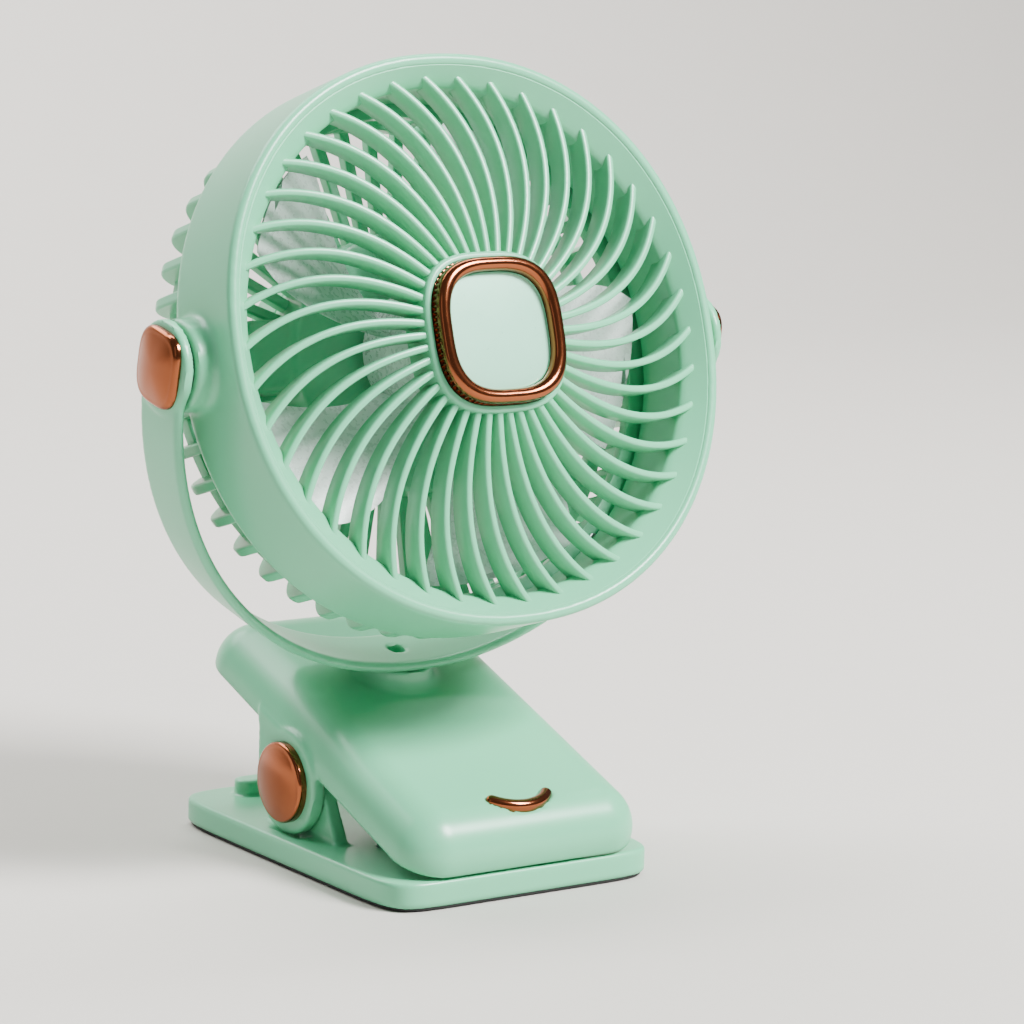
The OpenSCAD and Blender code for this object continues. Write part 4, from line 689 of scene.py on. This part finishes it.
cover_screw = screw_mesh(4.0, 1.6, 2.6, 2.0)
piece("cover_screw_heads",
      joined([moved(cover_screw, on_clock(COVER_SCREW_R, a, DRUM_BACK - 1.6)) for a in COVER_SCREW_ANGLES]),
      AXIS, "head", "steel", ["rear_cover_screws"], sharp=40)
grille_screw = screw_mesh(4.2, 1.8, 2.6, 3.0)
grille_places = [turn("Z", a) @ shift(GRILLE_SCREW_R, 0, RING_BACK) for a in GRILLE_SCREWS]
piece("grille_screw_heads", joined([moved(grille_screw, at) for at in grille_places]),
      AXIS, "head", "steel", ["grille_screws"], sharp=40)
under_screw = screw_mesh(4.4, 1.0, 2.2, 2.0)
under_places = [(x, u, JAW_LOW + 1.2) for x in (-20, 20) for u in (-36.4, 30.3)]
piece("under_screw_heads", joined([moved(under_screw, shift(*at) @ turn("X", 180)) for at in under_places]),
      JAW, "clip_jaw", "steel", ["under_cover_screws"], sharp=40)


# Yoke

def yoke_field(x, y, z):
    zz = z - YOKE_DROP
    outer = soft_distance(x, zz, YOKE_R, YOKE_DROP, YOKE_N)
    inner = soft_distance(x, zz, YOKE_R - YOKE_T, YOKE_DROP - YOKE_T, YOKE_N)
    sheet = blend_max(outer, -inner, 0.5)
    half = (YOKE_FOOT_W + (YOKE_END_W - YOKE_FOOT_W) * np.clip(z / YOKE_DROP, 0, 1)) / 2
    strip = np.maximum(blend_max(sheet, np.abs(y) - half, 1.5), zz)
    disc = slab(np.hypot(y, zz) - YOKE_END_R, np.abs(x), YOKE_R - YOKE_T, YOKE_R, 0.5)
    out = blend_min(strip, disc, 0.8)
    eye = np.hypot(x, y) - EYE_R
    out = blend_max(out, -np.maximum(eye, -z - 3), 0.5)
    post = slab(np.hypot(x, y) - POST_R, z, -7.5, 0.6, 0.3)
    return np.minimum(out, np.maximum(post, -eye))


piece("yoke_skin", skin(yoke_field, (-69, -11, -9), (69, 11, 82), 0.7), SWIVEL, "yoke", "mint_plastic",
      ["yoke"], sharp=60)

for side, name in zip(SIDES, ("left", "right")):
    cap = lathe(domed(PIVOT_CAP_R, PIVOT_CAP_T, 1.3, 1.1, 12), PIVOT_CAP_N, 160, stretch=0.4)
    seat = shift(side * YOKE_R, 0, YOKE_DROP) @ outward(side) @ turn("Z", 90)
    piece(f"pivot_cap_{name}_skin", moved(cap, seat), SWIVEL, "yoke", "copper_plating",
          [f"pivot_cap_{name}"], sharp=50)


# Clip

def off_jaw(y, z):
    """Takes a point from the hinge, along the jaw and square to it, to the ground's axes."""
    c, s = math.cos(math.radians(JAW_TILT)), math.sin(math.radians(JAW_TILT))
    return y * c - z * s, y * s + z * c


def jaw_slab(u, x, w, inset):
    r = JAW_EDGE - inset
    return box(x, u, w, (-JAW_HALF + inset, JAW_FRONT + SKIN_IN + inset, -40),
               (JAW_HALF - inset, JAW_REAR - inset, JAW_TOP - inset), r)


def jaw_field(x, u, w):
    y, z = off_jaw(u, w)
    outer = blend_max(jaw_slab(u, x, w, 0), JAW_LOW - w, 0.8)
    room = jaw_slab(u, x, w, JAW_WALL)
    lug = polygon_distance(y, z, [(0, 0), (LUG_R, 0), (LUG_R, 14), (0, 10)])
    lug = np.minimum(np.hypot(y, z) - LUG_R, lug)
    lugs = slab(lug, np.abs(x), LUG_IN, LUG_OUT, 0.5)
    out = blend_min(blend_max(outer, -room, 0.2), lugs, 1.2)
    a = math.radians(LEAN)
    sy, sz = y - (SWIVEL_Y - HINGE_Y), z - (SWIVEL_Z - HINGE_Z)
    v, h = sy * math.cos(a) + sz * math.sin(a), -sy * math.sin(a) + sz * math.cos(a)
    neck = slab(np.hypot(x, v) - NECK_R, h, -7.4, -0.3, 0.4)
    out = blend_min(out, neck, 3.4)
    out = np.maximum(out, -(np.maximum(np.hypot(x, v) - POST_R - 0.1, np.abs(h) - 9)))
    ring_u = JAW_FRONT + TRIM_BACK + TRIM_R
    turn_angle = np.arctan2(x, -(u - ring_u))
    far = np.clip(turn_angle, -math.radians(TRIM_SPAN), math.radians(TRIM_SPAN))
    groove = np.hypot(x - TRIM_R * np.sin(far), u - ring_u + TRIM_R * np.cos(far)) - 1.3
    return blend_max(out, -np.maximum(groove, JAW_TOP - 1.8 - w), 0.3)


piece("jaw_skin", skin(jaw_field, (-32, -51, -13), (32, 43.5, 26), 0.65), JAW, "clip_jaw", "mint_plastic",
      ["jaw_shell"], sharp=60)


def trim_bar():
    """Curved bar with a round top, let into the jaw's groove; its ends are turned round."""
    r, half, reach = TRIM_R, 1.35, math.radians(TRIM_SPAN)
    foot, shoulder, crown = -1.3, 0.1, 1.25
    section = [(-half, foot), (-half, shoulder)]
    for t in range(15, 180, 15):
        section.append((-half * math.cos(math.radians(t)), shoulder + crown * math.sin(math.radians(t))))
    section += [(half, shoulder), (half, foot)]

    def row(a, b=0.0, side=1):
        across = np.array([math.sin(a), -math.cos(a)])
        along = side * np.array([math.cos(a), math.sin(a)])
        centre = r * across + (0, JAW_FRONT + TRIM_BACK + r)
        return [(*(centre + s * math.cos(b) * across + abs(s) * math.sin(b) * along), JAW_TOP - 0.3 + w)
                for s, w in section]
    ends = [math.radians(90 * k / 8) for k in range(1, 9)]
    rows = [row(-reach, b, -1) for b in ends[::-1]]
    rows += [row(-reach + 2 * reach * k / 40) for k in range(41)]
    rows += [row(reach, b) for b in ends]
    return loft(rows, caps=False)


piece("trim_skin", trim_bar(), JAW, "clip_jaw", "copper_plating", ["jaw_trim_bar"], sharp=50)

for side, name in zip(SIDES, ("left", "right")):
    cap = lathe(domed(HINGE_CAP_R, HINGE_CAP_T, 1.4, 0.8, 12), 2.0, 120)
    piece(f"hinge_cap_{name}_skin", moved(cap, shift(side * LUG_OUT, 0, 0) @ outward(side)),
          HINGE, "clip_jaw", "copper_plating", [f"hinge_cap_{name}"], sharp=50)


def base_field(x, y, z):
    plan = soft_distance(x, y - BASE_MID_Y, BASE_HALF, BASE_HALF_L, BASE_N)
    plate = slab(plan, z, 0.55, BASE_TOP, 0.9)       # a little lower than the pad's top: no gap shows

    def at(u, w):
        y_off, z_off = off_jaw(u, w)
        return HINGE_Y + y_off, HINGE_Z + z_off
    r, heel = BASE_LUG_R, HINGE_Y + 12
    corners = [(HINGE_Y - 16.3, 5), (HINGE_Y - 15.3, 6.5), at(-5.5, r), at(0, r), (HINGE_Y + r, HINGE_Z),
               (heel, BASE_TOP), (heel, 5)]
    from_pin = np.hypot(y - HINGE_Y, z - HINGE_Z)
    lug = np.minimum(polygon_distance(y, z, corners[::-1]), from_pin - r)
    lugs = slab(lug, np.abs(x), BASE_LUG_IN, BASE_LUG_OUT, 0.4)
    out = blend_min(plate, lugs, 1.2)
    across = np.maximum(np.abs(x) - STOP_HALF, 0)
    bar = slab(np.hypot(across, y - STOP_Y) - STOP_R, z, 4, BASE_TOP + 3.5, 0.7)
    out = blend_min(out, bar, 0.8)
    slot = slab(from_pin - LUG_R - 1.2, np.abs(x), LUG_IN - 0.35, LUG_OUT + 0.35, 0.3)
    out = blend_max(out, -slot, 0.4)
    g = 0.15                                         # room round the grey-green pad
    pad = box(x, y, z, (-PAD_HALF - g, PAD_FRONT - g, PAD_LOW), (PAD_HALF + g, PAD_BACK + g, 12), 0.3)
    return blend_max(out, -pad, 0.3)


piece("base_skin", skin(base_field, (-35, -48, 0), (35, 44, 25), 0.65), GROUND, "base", "mint_plastic",
      ["base_plate"], sharp=60)


def foot():
    """Near-black pad under the base, with a softened lower edge."""
    edge = ((0, FOOT_T), (0, 0.35), (0.1, 0.1), (0.4, 0.0))
    rows = []
    for u in soft_unit(BASE_N, 200):
        side = [((FOOT_HALF - i) * u[0], (FOOT_HALF_L - i) * u[1] + BASE_MID_Y, z) for i, z in edge]
        rows.append([(0, BASE_MID_Y, FOOT_T)] + side + [(0, BASE_MID_Y, 0)])
    return loft(rows, ring=True, loop=False)


piece("foot_skin", foot(), GROUND, "base", "foot_rubber", ["base_foot_pad"])


def block(low, high):
    x0, y0, z0 = low
    x1, y1, z1 = high
    return loft([[(x0, y0, z0), (x1, y0, z0), (x1, y1, z0), (x0, y1, z0)],
                 [(x0, y0, z1), (x1, y0, z1), (x1, y1, z1), (x0, y1, z1)]])


piece("base_pad_skin", block((-PAD_HALF, PAD_FRONT, PAD_LOW), (PAD_HALF, PAD_BACK, PAD_TOP)),
      GROUND, "base", "grip_rubber", ["base_grip_pad"], bevel=0.4)


def wedge():
    """Pad of the upper jaw: flat below, and its top follows the jaw's slope."""
    slope = math.radians(JAW_TILT)
    low, back = PAD_TOP + 0.1, PAD_FRONT + 15

    def top(y):
        return HINGE_Z + (y - HINGE_Y) * math.tan(slope) + (JAW_LOW + 0.2) / math.cos(slope)
    section = [(PAD_FRONT, low), (back, low), (back, top(back)), (PAD_FRONT, top(PAD_FRONT))]
    return loft([[(x, y, z) for y, z in section] for x in (-PAD_HALF, PAD_HALF)])


piece("jaw_pad_skin", wedge(), GROUND, "clip_jaw", "grip_rubber", ["jaw_grip_pad"], bevel=0.4)


# Spring: a leg on the base, the coil and a leg under the jaw

def spring():
    coil, reach, bend, foot, pitch, wire = 5.6, 17.0, 2.4, 1.8, 2.6, 0.9
    turns, base_rise, jaw_rise = 8, HINGE_Z - BASE_TOP, JAW_LOW + 0.2

    def lean_of(rise):
        a = math.atan2(rise - foot - bend, reach - bend)
        return a + math.asin(coil / math.hypot(rise - foot - bend, reach - bend))
    base_a, jaw_a = lean_of(base_rise), lean_of(jaw_rise)
    start = math.pi / 2 - base_a
    end = jaw_a - math.pi / 2 + math.radians(JAW_TILT) + turns * 2 * math.pi
    length = pitch * (end - start) / (2 * math.pi)

    def leg(rise, a):
        bends = [a + (math.pi / 2 - a) * k / 8 for k in range(9)]
        path = [(reach - bend + bend * math.sin(t), rise - foot - bend * math.cos(t)) for t in bends]
        return path + [(reach, rise)]
    low = [(-length / 2, y, -z) for y, z in leg(base_rise, base_a)[::-1]]
    steps = 300
    coil_line = [(-length / 2 + length * k / steps, coil * math.cos(start + (end - start) * k / steps),
                  coil * math.sin(start + (end - start) * k / steps)) for k in range(steps + 1)]
    high = [(length / 2, *off_jaw(y, z)) for y, z in leg(jaw_rise, jaw_a)]
    line = np.array(low + coil_line + high)
    rows = []
    for k, p in enumerate(line):
        t = line[min(k + 1, len(line) - 1)] - line[max(k - 1, 0)]
        t /= np.linalg.norm(t)
        side = np.array([1.0, 0, 0]) - t[0] * t
        side /= np.linalg.norm(side)
        up = np.cross(t, side)
        rows.append([p + wire * (math.cos(a) * side + math.sin(a) * up)
                     for a in np.linspace(0, 2 * math.pi, 14, endpoint=False)])
    return loft(rows), length


spring_mesh, spring_length = spring()
coil = piece("spring_wire", spring_mesh, HINGE, None, "spring_steel", ["torsion_spring"], sharp=70)
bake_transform(coil)


# Floor, light and camera

def backdrop():
    """Floor that curves up into a wall behind, in metres; it lies a hair under the part."""
    half, front, turn_y, r, top, under, steps = 2.5, -1.2, 0.7, 0.5, 2.6, 0.0002, 12
    line = [(front + (turn_y - front) * k / steps, -under) for k in range(steps)]
    for k in range(steps + 1):
        a = math.radians(90 * k / steps)
        line.append((turn_y + r * math.sin(a), r - r * math.cos(a) - under))
    line.append((turn_y + r, top))
    return loft([[(-half, y, z), (half, y, z)] for y, z in line], loop=False)


floor = bpy.data.objects.new("floor", bpy.data.meshes.new("floor"))
points, faces = backdrop()
floor.data.from_pydata([tuple(p) for p in points], [], faces)
floor.data.polygons.foreach_set("use_smooth", [True] * len(faces))
floor.data.materials.append(surface("floor", (198, 194, 188), 0.7, vary=0.01, grain=200, bump=0.02))
bpy.context.scene.collection.objects.link(floor)

world = bpy.data.worlds.new("studio")
bpy.context.scene.world = world
world.use_nodes = True
world.node_tree.nodes["Background"].inputs["Color"].default_value = (0.94, 0.95, 0.96, 1)
world.node_tree.nodes["Background"].inputs["Strength"].default_value = 0.21


def lamp(name, place, aim, size, power, colour=(1, 1, 1)):
    data = bpy.data.lights.new(name, "AREA")
    data.shape = "RECTANGLE"
    data.size, data.size_y = size
    data.energy = power
    data.color = colour
    obj = bpy.data.objects.new(name, data)
    obj.location = place
    obj.rotation_euler = (Vector(aim) - Vector(place)).to_track_quat("-Z", "Y").to_euler()
    bpy.context.scene.collection.objects.link(obj)


lamp("key", (0.55, -0.85, 1.05), (0, 0, 0.08), (0.45, 0.45), 66)
lamp("fill", (-1.0, -0.6, 0.55), (0, 0, 0.08), (0.2, 0.8), 0.5)
lamp("back", (-0.3, 0.8, 0.9), (0, 0, 0.1), (0.8, 0.5), 9)
lamp("wall", (0.1, 0.5, 1.3), (0.2, 1.2, 0.2), (1.6, 0.4), 30)


def camera():
    azimuth, elevation, roll = math.radians(-33.99), math.radians(8.75), math.radians(-1.4)
    away, focal, frame_px = 793.31, 3736.96, 1024
    centre = (415.74, 455.44)
    back = np.array([math.sin(azimuth) * math.cos(elevation), -math.cos(azimuth) * math.cos(elevation),
                     math.sin(elevation)])
    right = np.cross(-back, (0, 0, 1))
    right /= np.linalg.norm(right)
    down = np.cross(-back, right)
    x = math.cos(roll) * right + math.sin(roll) * down
    y = -math.sin(roll) * right + math.cos(roll) * down
    data = bpy.data.cameras.new("camera")
    data.sensor_width = 36.0
    data.lens = focal * data.sensor_width / frame_px
    data.shift_x = (frame_px / 2 - centre[0]) / frame_px
    data.shift_y = (centre[1] - frame_px / 2) / frame_px
    data.clip_start, data.clip_end = 0.05, 20
    obj = bpy.data.objects.new("camera", data)
    m = np.eye(4)
    m[:3, 0], m[:3, 1], m[:3, 2] = x, -y, back
    m[:3, 3] = (np.array([0, 0, 85.0]) + back * away) * MM
    obj.matrix_world = Matrix(m.tolist())
    bpy.context.scene.collection.objects.link(obj)
    bpy.context.scene.camera = obj


camera()
